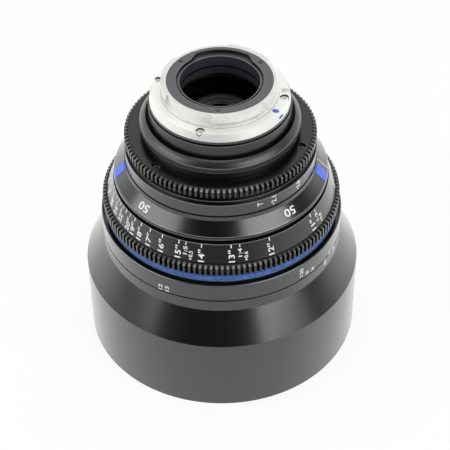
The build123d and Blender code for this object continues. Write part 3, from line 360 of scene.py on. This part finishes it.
# Front scale barrel
# The fixed barrel behind the bell is anodised black. Its small numbers are engraved and filled
# with white paint, along the axis.
class Slope:
    """Turned face between a low and a high circle, each a radius and a height in millimetres."""

    def __init__(self, low, high):
        self.low = Vector(low)
        self.along = (Vector(high) - self.low).normalized()
        self.length = (Vector(high) - self.low).length

    def place(self, dial, arc, rise, lift):
        """Place at an arc length past a dial angle, a rise up the face and a lift off it."""
        outward = Vector((self.along.y, -self.along.x))
        radius, height = self.low + self.along * rise + outward * lift
        turn = radians(dial) + arc / radius
        return Vector((radius * sin(turn), -radius * cos(turn), height)) * mm


stroke_gain = 0.018
paint_foot = -0.02
paint_top = 0.035
longest_facet = 0.8
letter_steps = 3
weld_reach = 0.0005 * mm


class Marks:
    """Filled engraving or plates on one slope, gathered into one mesh."""

    def __init__(self, slope):
        self.slope = slope
        self.mesh = bmesh.new()

    def words(self, text, dial, rise, cap, length, turn=90.0):
        """Characters centred on a place; the reading direction is turned from the dial's."""
        curve = bpy.data.curves.new("characters", "FONT")
        curve.body = text
        curve.extrude = 1.0
        curve.offset = stroke_gain
        curve.resolution_u = letter_steps
        block = bpy.data.objects.new("characters", curve)
        flat = bpy.data.meshes.new_from_object(block)
        spans = [sorted(vertex.co[axis] for vertex in flat.vertices) for axis in (0, 1)]
        (left, right), (foot, head) = [(span[0], span[-1]) for span in spans]
        turned = radians(turn)
        for vertex in flat.vertices:
            run = (vertex.co.x - (left + right) / 2) * length / (right - left)
            up = (vertex.co.y - (foot + head) / 2) * cap / (head - foot)
            arc = run * cos(turned) - up * sin(turned)
            climb = run * sin(turned) + up * cos(turned)
            lift = paint_top if vertex.co.z > 0 else paint_foot
            vertex.co = self.slope.place(dial, arc, rise + climb, lift)
        self.mesh.from_mesh(flat)
        bpy.data.objects.remove(block)
        bpy.data.meshes.remove(flat)

    def bar(self, dial, rise, width, length, thickness=paint_top):
        """Plate that lies up the slope, in facets short enough to follow the turning."""
        columns = ceil(width / longest_facet)
        grid = {}
        for layer, lift in enumerate((paint_foot, thickness)):
            for column in range(columns + 1):
                for end in (-0.5, 0.5):
                    arc = (column / columns - 0.5) * width
                    spot = self.slope.place(dial, arc, rise + length * end, lift)
                    grid[layer, column, end] = self.mesh.verts.new(spot)
        for here in range(columns):
            after = here + 1
            top = (grid[1, here, -0.5], grid[1, after, -0.5], grid[1, after, 0.5], grid[1, here, 0.5])
            foot = (grid[0, here, 0.5], grid[0, after, 0.5], grid[0, after, -0.5], grid[0, here, -0.5])
            self.mesh.faces.new(top)
            self.mesh.faces.new(foot)
            for end, order in ((-0.5, 1), (0.5, -1)):
                edge = (grid[0, here, end], grid[0, after, end], grid[1, after, end], grid[1, here, end])
                self.mesh.faces.new(edge[::order])
        for column, order in ((0, 1), (columns, -1)):
            edge = (grid[0, column, 0.5], grid[0, column, -0.5], grid[1, column, -0.5], grid[1, column, 0.5])
            self.mesh.faces.new(edge[::order])

    def finish(self, name, material, body):
        """Ends the mesh and lets it move with a body."""
        bmesh.ops.remove_doubles(self.mesh, verts=self.mesh.verts, dist=weld_reach)
        block = bpy.data.meshes.new(name)
        self.mesh.to_mesh(block)
        self.mesh.free()
        piece = bpy.data.objects.new(name, block)
        bpy.context.scene.collection.objects.link(piece)
        block.materials.append(material)
        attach(piece, body)


paint_fineness = 2.5
paint_dullest = 0.82
paint_dulls = 0.15
paint_mean = 0.07
paint_relief = 0.3
paint_depth = 0.01 * mm


def paint(name, tone, roughness=0.5):
    """Filling enamel, a little uneven in tone and gloss."""
    finish = Finish(name)
    x, y, _, z = turned_place(finish)
    cloud = grain(finish, vector(finish, x, y, z), paint_fineness, cloud_detail)
    values = {
        "Base Color": finish.blend(cloud, scaled(tone, paint_dullest), tone),
        "Roughness": cloud * paint_dulls + (roughness - paint_mean),
        "Normal": bump(finish, cloud, paint_relief, paint_depth),
    }
    return finish.principled(values)


white_fill = paint("white_fill", tone=(0.88, 0.88, 0.87))

band_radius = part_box("front_barrel")[1][0] * per_mm
rim_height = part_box("front_barrel")[1][2] * per_mm
rim_width = 0.8
band_edges = ((band_radius, rim_height), (band_radius - rim_width, rim_height))
band_black = anodised("front_band_black", anodic_black, roughness=0.3, edges=band_edges)
dress(band_black, "front_barrel")

band = Marks(Slope((band_radius, 0.0), (band_radius, rim_height)))
band_cap = 2.1
for number, dial, height, length in (
    ("12", -29.8, 64.8, 3.6),
    ("15", -26.3, 65.0, 3.4),
    ("120", 39.5, 67.1, 5.2),
    ("20", 43.1, 64.6, 2.4),
    ("24", 46.9, 64.2, 2.4),
    ("60", 57.4, 60.5, 3.6),
    ("75", 62.0, 63.5, 3.0),
    ("80", 66.5, 62.0, 3.0),
):
    band.words(number, dial, height, band_cap, length)
band.finish("front_band_numbers", white_fill, "housing")

# Blue trim ring
# A narrow ring under the focus teeth, dyed blue over bright aluminium. It turns with the focus
# ring. Grease has left it streaky, its left side is duller and greyer, its low rim carries a painted
# highlight and its top under the teeth a painted shadow.
blue_deep = (0.035, 0.1, 0.35)
blue_pale = (0.17, 0.3, 0.72)
blue_rim_highlight = (0.24, 0.32, 0.44)
blue_dull = (0.12, 0.15, 0.23)
blue_shadow = (0.01, 0.03, 0.12)
blue_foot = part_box("blue_trim_ring")[0][2] * per_mm
blue_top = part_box("blue_trim_ring")[1][2] * per_mm
streak_detail = 4.0
streak_squash = 4.0
streak_fineness = 0.35
fine_fineness = 1.8
streak_share = 0.65
streak_from = 0.42
streak_full = 0.66
pale_least = 0.15
pale_range = 0.7
pale_rim_height = 0.8
pale_rim_width = 0.7
pale_rim_least = 0.1
pale_rim_patchy = 0.9
left_dull_full = -52.0
left_dull_from = -34.0
left_dull_share = 0.7
shadow_from = 1.6
shadow_full = 0.4
shadow_share = 0.6
blue_roughness = 0.34
fine_dulls = 0.14
quarter_turn = 0.25

streaks = Finish("blue_anodised")
x, y, _, z = turned_place(streaks)
where = vector(streaks, x, y, z * streak_squash)
cloud = grain(streaks, where, streak_fineness, streak_detail)
fine = grain(streaks, where, fine_fineness, cloud_detail)
# Painted highlight: the low rim is paler in patches, where its chamfer catches the light.
low_rim = z.near(blue_foot + pale_rim_height, pale_rim_width)
streaky = (cloud * streak_share + fine * (1 - streak_share)).rise(streak_from, streak_full)
shade = streaks.blend(streaky * pale_range + pale_least, blue_deep, blue_pale)
# The left side is duller and greyer.
left_side = 1 - x.rise(left_dull_full, left_dull_from)
shade = streaks.blend(left_side * left_dull_share, shade, blue_dull)
# Painted shadow under the teeth: the top of the ring is darker.
under_teeth = z.rise(blue_top - shadow_from, blue_top - shadow_full)
shade = streaks.blend(under_teeth * shadow_share, shade, blue_shadow)
values = {
    "Base Color": streaks.blend(low_rim * (pale_rim_least + cloud * pale_rim_patchy), shade, blue_rim_highlight),
    "Metallic": 0.85,
    "Roughness": blue_roughness + fine * fine_dulls,
    "Anisotropic": 0.4,
    "Anisotropic Rotation": quarter_turn,
    "Normal": bump(streaks, fine, strength=0.25, depth=0.01 * mm),
}
dress(streaks.principled(values), "blue_trim_ring")

# Focus gear
# The drive ring has 140 teeth of module 0.8, hobbed and then anodised black. Its tooth bevels carry
# a painted highlight, and their corners are paler: rubbed grey by pinion and handling, and painted highlight.
gear_tip_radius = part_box("focus_gear_ring")[1][0] * per_mm
gear_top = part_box("focus_gear_ring")[1][2] * per_mm
gear_dark = (0.002, 0.002, 0.002)
gear_pale = (0.004, 0.004, 0.0038)
gear_feed = 0.3
gear_gloss = 0.14
gear_spread = 0.6
ring_cloud_fineness = 0.12
tooth_depth = 1.8
tip_from = 0.9
tip_full = 0.35
tip_smoother = 0.35
valley_from = 2.4
valley_full = 1.9
valley_dulls = 0.45
gear_bevel = 0.8
bevel_wear_and_highlight = (0.22, 0.22, 0.2)
bevel_width = 0.45
bevel_least = 0.3
bevel_patchy = 0.8
facet_highlight_tone = (0.03, 0.029, 0.026)
facet_blur = 0.06
facet_from = 1.6
facet_full = 1.5


def toothed(name, tip, top):
    """Black gear finish, glossier along the tooth tips; painted highlight on the bevel; its edge paled by
    wear and painted highlight.
    """
    finish = Finish(name)
    x, y, radius, z = turned_place(finish)
    where = vector(finish, x, y, z)
    cut = cut_lines(finish, gear_feed, x, y, radius, z)
    cloud = grain(finish, where, ring_cloud_fineness, cloud_detail)
    etch = grain(finish, where, etch_fineness)
    bevel_line = near_circles(radius, z, ((tip, top - gear_bevel),), bevel_width)
    tips = radius.rise(tip - tooth_depth * tip_from, tip - tooth_depth * tip_full)
    valleys = radius.rise(tip - valley_from, tip - valley_full)
    on_teeth = radius.rise(tip - facet_from, tip - facet_full)
    facet = z.rise(top - gear_bevel, top - gear_bevel + facet_blur) * on_teeth
    shade = finish.blend((cloud + cut) / 2, gear_dark, gear_pale)
    # Painted highlight on the bevel facets of the teeth; the line at the bevel's edge is partly worn, partly
    # painted highlight.
    shade = finish.blend(facet, shade, facet_highlight_tone)
    shade = finish.blend(bevel_line * (bevel_least + cloud * bevel_patchy), shade, bevel_wear_and_highlight)
    dulled = valleys * (valley_dulls - tips * tip_smoother)
    values = {
        "Base Color": shade,
        "Roughness": cloud * cloud_dulls + gear_gloss + dulled,
        "IOR": anodic_index,
        "Anisotropic": gear_spread,
        "Anisotropic Rotation": quarter_turn,
        "Coat Weight": (facet + tips) / 2,
        "Coat Roughness": gear_gloss,
        "Coat IOR": sealed_index,
        "Normal": bump(finish, cut * cut_height + etch * etch_height, black_relief, black_depth),
    }
    return finish.principled(values)


dress(toothed("focus_gear_black", gear_tip_radius, gear_top), "focus_gear_ring")

# Focus scale ring
# A short cone with the distances of sharp focus in inches, engraved and filled white, each
# with its tick at the top edge. Small numbers beside short ticks give the image scale.
focus_low = Vector((54.6, 83.3))
focus_high = Vector((51.35, 92.2))
focus_black = anodised("focus_black", anodic_black, roughness=0.3, edges=(tuple(focus_high),))
dress(focus_black, "focus_scale_ring")

focus = Marks(Slope(focus_low, focus_high))
tick_width = 0.5
tick_length = 1.8
tick_rise = focus.slope.length - 1.0
number_cap = 3.0
number_length = 6.2
number_rise = 3.6
for number, dial in (
    ("11″", 52.2),
    ("12″", 24.6),
    ("13″", 4.6),
    ("14″", -10.3),
    ("15″", -22.1),
    ("16″", -31.5),
    ("17″", -39.1),
    ("18″", -45.4),
    ("19″", -50.5),
    ("20″", -54.6),
    ("22″", -61.8),
    ("24″", -67.6),
    ("28″", -74.0),
    ("36″", -82.6),
    ("48″", -91.0),
    ("60″", -98.0),
    ("10″", 86.0),
):
    focus.bar(dial, tick_rise, tick_width, tick_length)
    focus.words(number, dial, number_rise, number_cap, number_length)
for dial in (-58.4, -64.8, -70.2, -78.0):
    focus.bar(dial, tick_rise, tick_width, tick_length)
small_tick_length = 1.4
small_cap = 1.9
scale_length = 4.2
scale_rise = focus.slope.length - 4.4
shift_step = 2.9
shift_length = 4.6
shift_rise = focus.slope.length - 6.6
for scale, shift, dial in (
    ("1:3", "+0.8", 56.6),
    ("1:4", "+0.6", 8.9),
    ("1:5", "+0.5", -18.4),
):
    focus.bar(dial, tick_rise, tick_width, small_tick_length)
    focus.words(scale, dial, scale_rise, small_cap, scale_length)
    focus.words(shift, dial + shift_step, shift_rise, small_cap, shift_length)
focus.finish("focus_numbers", white_fill, "focus_ring")

# Index ring
# The fixed cone between the two scales. The distance is read at its white line, the focal
# length stands on it twice, and two blue enamel plates are set into its slope, left plain.
cone_low = Vector((50.6, 95.85))
cone_high = Vector((45.5, 101.3))
shoulder_high = Vector((45.4, 103.45))
cone_edges = (tuple(cone_low),)
index_black = anodised("index_black", anodic_black, roughness=0.27, edges=cone_edges, edge_width=0.2)
dress(index_black, "index_ring")

cone = Marks(Slope(cone_low, cone_high))
focal_cap = 3.8
focal_width = 6.2
focal_rise = 3.7
for dial in (-47.5, 40.4):
    cone.words("50", dial, focal_rise, focal_cap, focal_width, turn=180.0)
cone.finish("focal_length_numbers", white_fill, "housing")

line_dial = 85.4
line_width = 0.4
line_foot_gap = 0.2
line_end_gaps = 0.1
line = Marks(Slope(cone_low, cone_high))
line_rise = (line.slope.length + line_foot_gap) / 2
line.bar(line_dial, line_rise, line_width, line.slope.length - line_foot_gap)
line.finish("index_line", white_fill, "housing")
line = Marks(Slope(cone_high, shoulder_high))
line.bar(line_dial, line.slope.length / 2, line_width, line.slope.length - line_end_gaps)
line.finish("index_line_high", white_fill, "housing")

badge_blue = paint("badge_blue", tone=(0.09, 0.17, 0.78), roughness=0.3)
badge_width = 6.4
badge_gaps = 0.4
badge_thickness = 0.12
for name, dial in (("badge_left", -82.6), ("badge_right", 77.8)):
    plate = Marks(Slope(cone_low, cone_high))
    badge_length = plate.slope.length - badge_gaps
    plate.bar(dial, plate.slope.length / 2, badge_width, badge_length, badge_thickness)
    plate.finish(name, badge_blue, "housing")

# Iris scale ring
# The ring with the stops. Its numbers are filled white and read at the line of the index
# ring, and a waist above them leaves room for the pinion of a motor.
iris_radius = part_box("iris_scale_ring")[1][0] * per_mm
iris_foot = 103.75
iris_top = 110.05
iris_step_depth = 1.5
iris_step_height = 1.35
iris_edges = ((iris_radius, iris_top), (iris_radius - iris_step_depth, iris_top + iris_step_height))
dress(anodised("iris_black", anodic_black, roughness=0.3, edges=iris_edges), "iris_scale_ring")

stops = Marks(Slope((iris_radius, iris_foot), (iris_radius, iris_top)))
stop_rise = 4.0
stop_cap = 2.6
dash_rise = 1.35
dash_width = 0.45
dash_length = 1.3
letter_dial = 22.7
letter_cap = 2.5
letter_length = 2.2
for stop, dial, length in (
    ("2.1", 31.7, 3.9),
    ("2.8", 51.2, 3.9),
    ("4", 69.6, 1.7),
    ("5.6", 88.0, 3.9),
    ("8", 106.4, 1.7),
    ("11", 124.8, 3.0),
    ("16", 143.2, 3.2),
    ("22", 161.6, 3.4),
):
    stops.words(stop, dial, stop_rise, stop_cap, length)
    stops.bar(dial, dash_rise, dash_width, dash_length)
stops.words("T", letter_dial, stop_rise, letter_cap, letter_length)
stops.finish("iris_numbers", white_fill, "iris_ring")

# Iris gear
# The 110-tooth ring that a motor turns the iris by. Three socket screws hold it on the scale
# ring, sunk in counterbores of its flat face.
iris_tip_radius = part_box("iris_gear_ring")[1][0] * per_mm
iris_gear_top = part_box("iris_gear_ring")[1][2] * per_mm
dress(toothed("iris_gear_black", iris_tip_radius, iris_gear_top), "iris_gear_ring")

steel_feed = 0.3
steel_cut_share = 0.6
steel_dullest = 0.85
steel_dulls = 0.1
steel_mean = 0.05
steel_relief = 0.15
steel_depth = 0.005 * mm


def steel(name, tone, roughness, metallic=1.0):
    """Turned steel or brass with lathe marks and clouded roughness."""
    finish = Finish(name)
    x, y, radius, z = turned_place(finish)
    cut = cut_lines(finish, steel_feed, x, y, radius, z)
    cloud = grain(finish, vector(finish, x, y, z), ring_cloud_fineness, cloud_detail)
    bright = cut * steel_cut_share + cloud * (1 - steel_cut_share)
    values = {
        "Base Color": finish.blend(bright, scaled(tone, steel_dullest), tone),
        "Metallic": metallic,
        "Roughness": cloud * steel_dulls + (roughness - steel_mean),
        "Normal": bump(finish, cut, steel_relief, steel_depth),
    }
    return finish.principled(values)


dress(steel("screw_black", tone=(0.3, 0.3, 0.3), roughness=0.4), "iris_gear_screws")

# Rear collar and mount base
# The collar is screwed on behind the iris gear and keeps it on the barrel. The base above it
# carries the mount, and a thin blackened shim sets the distance to the sensor.
collar_edges = ((37.26, 125.07), (37.26, 122.6))
collar_black = anodised(
    "collar_black", anodic_black, roughness=0.44, edges=collar_edges, edge_width=0.2, seal=0.8
)
dress(collar_black, "rear_collar")
base_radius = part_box("mount_base")[1][0] * per_mm
base_edges = ((base_radius, 134.3), (31.9, 135.4))
base_black = anodised(
    "base_black", anodic_black, roughness=0.3, edges=base_edges, edge_width=0.2, seal=0.5
)
dress(base_black, "mount_base")
dress(anodised("shim_black", tone=(0.01, 0.01, 0.01), roughness=0.35), "mount_shim")

# Bayonet mount
# A standard steel bayonet: flange, pilot, neck and three lugs in one turning with a satin
# face. Sliding in the camera has rubbed and stained the neck and lugs brown in places.
mount_tone = (0.88, 0.875, 0.85)
mount_dullest = 0.88
mount_feed = 0.25
mount_roughness = 0.38
pilot_radius = 26.9
flange_height = 140.0
rim_tone = (0.62, 0.62, 0.6)
rim_from = 146.2
rim_full = 146.35
rim_least = 0.55
rim_patchy = 0.6
mount_stain = (0.36, 0.3, 0.2)
stain_squash = 3.0
stain_fineness = 0.5
stain_from = 0.58
stain_full = 0.74
stain_share = 0.4
stain_radius = pilot_radius - 0.2
stain_radius_end = pilot_radius + 0.4
stain_top = 145.6
stain_top_end = 146.2
groove_and_shade_tone = (0.3, 0.29, 0.27)
groove_share = 0.25
groove_width = 0.14
groove_circles = (27.7, 28.9)
groove_from = flange_height - 0.5
groove_full = flange_height - 0.1
foot_width = 0.3
foot_share = 0.6
screw_circle = 29.6
screw_dials = (-107.0, -17.7, 79.6, 169.0)
counterbore_radius = 2.05
counterbore_edge = counterbore_radius + 0.05
counterbore_edge_end = counterbore_radius + 0.15
counterbore_top = flange_height - 0.25
counterbore_top_end = flange_height - 0.1
hollow_tone = (0.01, 0.01, 0.01)
neck_bore = 24.5
hollow_radius = neck_bore + 0.1
hollow_radius_end = neck_bore + 0.3
hollow_top = 141.5
hollow_top_end = 142.5

satin = Finish("mount_steel")
x, y, radius, z = turned_place(satin)
where = vector(satin, x, y, z)
cut = cut_lines(satin, mount_feed, x, y, radius, z)
cloud = grain(satin, where, ring_cloud_fineness, cloud_detail)
spots = grain(satin, vector(satin, x, y, z * stain_squash), stain_fineness, streak_detail)
shade = satin.blend((cut + cloud) / 2, scaled(mount_tone, mount_dullest), mount_tone)
on_neck = (1 - radius.rise(stain_radius, stain_radius_end)) * (1 - z.rise(stain_top, stain_top_end))
shade = satin.blend(spots.rise(stain_from, stain_full) * on_neck * stain_share, shade, mount_stain)
on_flange = z.rise(groove_from, groove_full)
for circle in groove_circles:
    shade = satin.blend(radius.near(circle, groove_width) * on_flange * groove_share, shade, groove_and_shade_tone)
shade = satin.blend(z.rise(rim_from, rim_full) * (rim_least + cloud * rim_patchy), shade, rim_tone)
# Painted shadow in the counterbores of the flange screws.
counterbore_shade = 0.0
for dial in screw_dials:
    across = x - screw_circle * sin(radians(dial))
    along = y + screw_circle * cos(radians(dial))
    away = (across * across + along * along) ** 0.5
    counterbore_shade = counterbore_shade + (1 - away.rise(counterbore_edge, counterbore_edge_end))
sunk = 1 - z.rise(counterbore_top, counterbore_top_end)
shade = satin.blend(counterbore_shade * sunk, shade, hollow_tone)
# Painted shade in the corner at the foot of the pilot.
foot_line = near_circles(radius, z, ((pilot_radius, flange_height),), foot_width)
shade = satin.blend(foot_line * foot_share, shade, groove_and_shade_tone)
# The bore under the flange is dark.
hollow = (1 - radius.rise(hollow_radius, hollow_radius_end)) * (1 - z.rise(hollow_top, hollow_top_end))
shade = satin.blend(hollow, shade, hollow_tone)
values = {
    "Base Color": shade,
    "Metallic": 0.45,
    "Roughness": mount_roughness + cloud * cloud_dulls,
    "Anisotropic": 0.3,
    "Anisotropic Rotation": quarter_turn,
    "Normal": bump(satin, cut, strength=0.2, depth=0.008 * mm),
}
dress(satin.principled(values), "mount_ring")
screw_steel = steel("screw_steel", tone=(0.93, 0.92, 0.89), roughness=0.4, metallic=0.4)
dress(screw_steel, "mount_screws", "barrel_screws", "helicoid_screws")

# Marks of the mount
# A blue dot on the flange shows where to put the lens in, and a short blue stroke on the
# flange's edge can be seen from the side. Both are filled engraving.
mark_blue = paint("mark_blue", tone=(0.05, 0.11, 0.6))
dot_start_radius = pilot_radius + 6
dot_dial = 58.5
dot_width = 2.5
dot_rise = 3.8
dot_length = 3.2
dot_steps = 9
dot = Marks(Slope((dot_start_radius, flange_height), (pilot_radius, flange_height)))
for step in range(dot_steps):
    offset = (step + 0.5) / dot_steps - 0.5
    chord = (0.25 - offset * offset) ** 0.5 * dot_width * 2
    dot.bar(dot_dial, dot_rise + offset * dot_length, chord, dot_length / dot_steps)
dot.finish("mount_dot", mark_blue, "housing")

flange_low = (32.36, 136.39)
flange_high = (31.25, flange_height)
edge_dial = 58.6
edge_rise = 1.6
edge_width = 3.0
edge_length = 1.0
edge_thickness = 0.1
edge_stroke = Marks(Slope(flange_low, flange_high))
edge_stroke.bar(edge_dial, edge_rise, edge_width, edge_length, edge_thickness)
edge_stroke.finish("mount_bar", mark_blue, "housing")

# Rear baffle
# A light trap pressed into the bayonet and held by three small screws. It is turned with a face, a lip
# and a short tube, and painted matt; the face that looks up is coloured grey as a painted highlight.
trap_index = 1.6
trap_roughness = 0.3
trap_face_radius = 20.1
trap_face_height = 146.2
face_highlight_dark = (0.055, 0.057, 0.061)
face_highlight_pale = (0.073, 0.075, 0.08)
trap_face_dulls = 0.16
trap_face_edge = trap_face_radius - 0.1
trap_face_edge_end = trap_face_radius + 0.1
trap_face_from = trap_face_height - 0.25
trap_face_full = trap_face_height - 0.1
trap_step_tone = (0.008, 0.008, 0.0085)
trap_wall_tone = (0.036, 0.037, 0.044)
trap_lip_radius = 18.5
trap_lip_edge_end = trap_lip_radius + 0.2
trap_lip_height = 145.6
trap_lip_width = 0.35
lip_highlight_tone = (0.3, 0.3, 0.3)
lip_highlight_share = 0.5
trap_cloud_fineness = 0.2
trap_cloud_share = 0.6
powder_fineness = 7.0

trap = Finish("baffle_matt")
x, y, radius, z = turned_place(trap)
where = vector(trap, x, y, z)
cloud = grain(trap, where, trap_cloud_fineness, cloud_detail)
powder = grain(trap, where, powder_fineness)
# Painted highlight: the face that looks up is grey; the step and the tube are darker.
faced = z.rise(trap_face_from, trap_face_full) * radius.rise(trap_face_edge, trap_face_edge_end)
wall = 1 - radius.rise(trap_lip_radius, trap_lip_edge_end)
mottled = cloud * trap_cloud_share + powder * (1 - trap_cloud_share)
face_highlight = trap.blend(mottled, face_highlight_dark, face_highlight_pale)
shade = trap.blend(faced, trap.blend(wall, trap_step_tone, trap_wall_tone), face_highlight)
trap_edges = ((trap_lip_radius, trap_lip_height), (trap_face_radius, trap_face_height))
# Painted highlights along the lip and the edge of the face.
lip = near_circles(radius, z, trap_edges, trap_lip_width)
shade = trap.blend(lip * lip_highlight_share, shade, lip_highlight_tone)
values = {
    "Base Color": shade,
    "Roughness": trap_roughness + cloud * cloud_dulls + faced * trap_face_dulls,
    "IOR": trap_index,
    "Normal": bump(trap, powder, strength=0.25, depth=0.02 * mm),
}
dress(trap.principled(values), "rear_baffle", "light_stop")
dress(steel("baffle_screw_grey", tone=(0.25, 0.25, 0.26), roughness=0.45), "baffle_screws")

# Optical cell
# Two halves of black aluminium hold the glasses between spacers and retaining rings. Three
# brass rollers carry the cell in the straight slots and in the helix of the brass nut.
cell_parts = (
    "front_cell", "rear_cell", "front_retaining_ring", "front_spacer", "middle_retaining_ring", "rear_spacer",
    "iris_base_plate", "iris_drive_ring", "iris_fork",
)
dress(inner_black, *cell_parts)
ring_tone = (0.02, 0.02, 0.021)
ring_edges = ((12.3, 126.9), (9.0, 126.9), (8.4, 126.0))
retaining_black = anodised("retaining_black", ring_tone, roughness=0.4, edges=ring_edges)
dress(retaining_black, "rear_retaining_ring")
dress(steel("brass", tone=(0.75, 0.55, 0.25), roughness=0.3), "cell_rollers", "focus_helicoid")
dress(steel("plain_steel", tone=(0.5, 0.5, 0.5), roughness=0.35), "focus_stop_pin")

# Glasses
# Seven polished glasses, four of them cemented in two pairs, with a thin anti-reflection
# coating of almost no colour. The rims are ground and blackened, which the cell hides.
glass_index = 1.52
coating_thickness = 110.0
coating_index = 1.38
smear_fineness = 0.15
smear_from = 0.6
smear_full = 0.9
smear_roughness = 0.04

glass = Finish("coated_glass")
x, y, _, z = turned_place(glass)
smear = grain(glass, vector(glass, x, y, z), smear_fineness, cloud_detail)
values = {
    "Base Color": (1, 1, 1),
    "Roughness": smear.rise(smear_from, smear_full) * smear_roughness,
    "Transmission Weight": 1.0,
    "IOR": glass_index,
    "Thin Film Thickness": coating_thickness,
    "Thin Film IOR": coating_index,
}
coated = glass.principled(values)
dress(coated, "front_element", "front_doublet", "rear_doublet", "rear_inner_element", "rear_outer_element")

# Iris blades
# Fourteen blackened spring steel leaves, thin and dull, that swing on posts between the base
# plate and the slotted ring.
leaf = steel("blade_steel", tone=(0.16, 0.16, 0.16), roughness=0.45)
dress(leaf, *[name for name in nodes if name.startswith("iris_blade")])
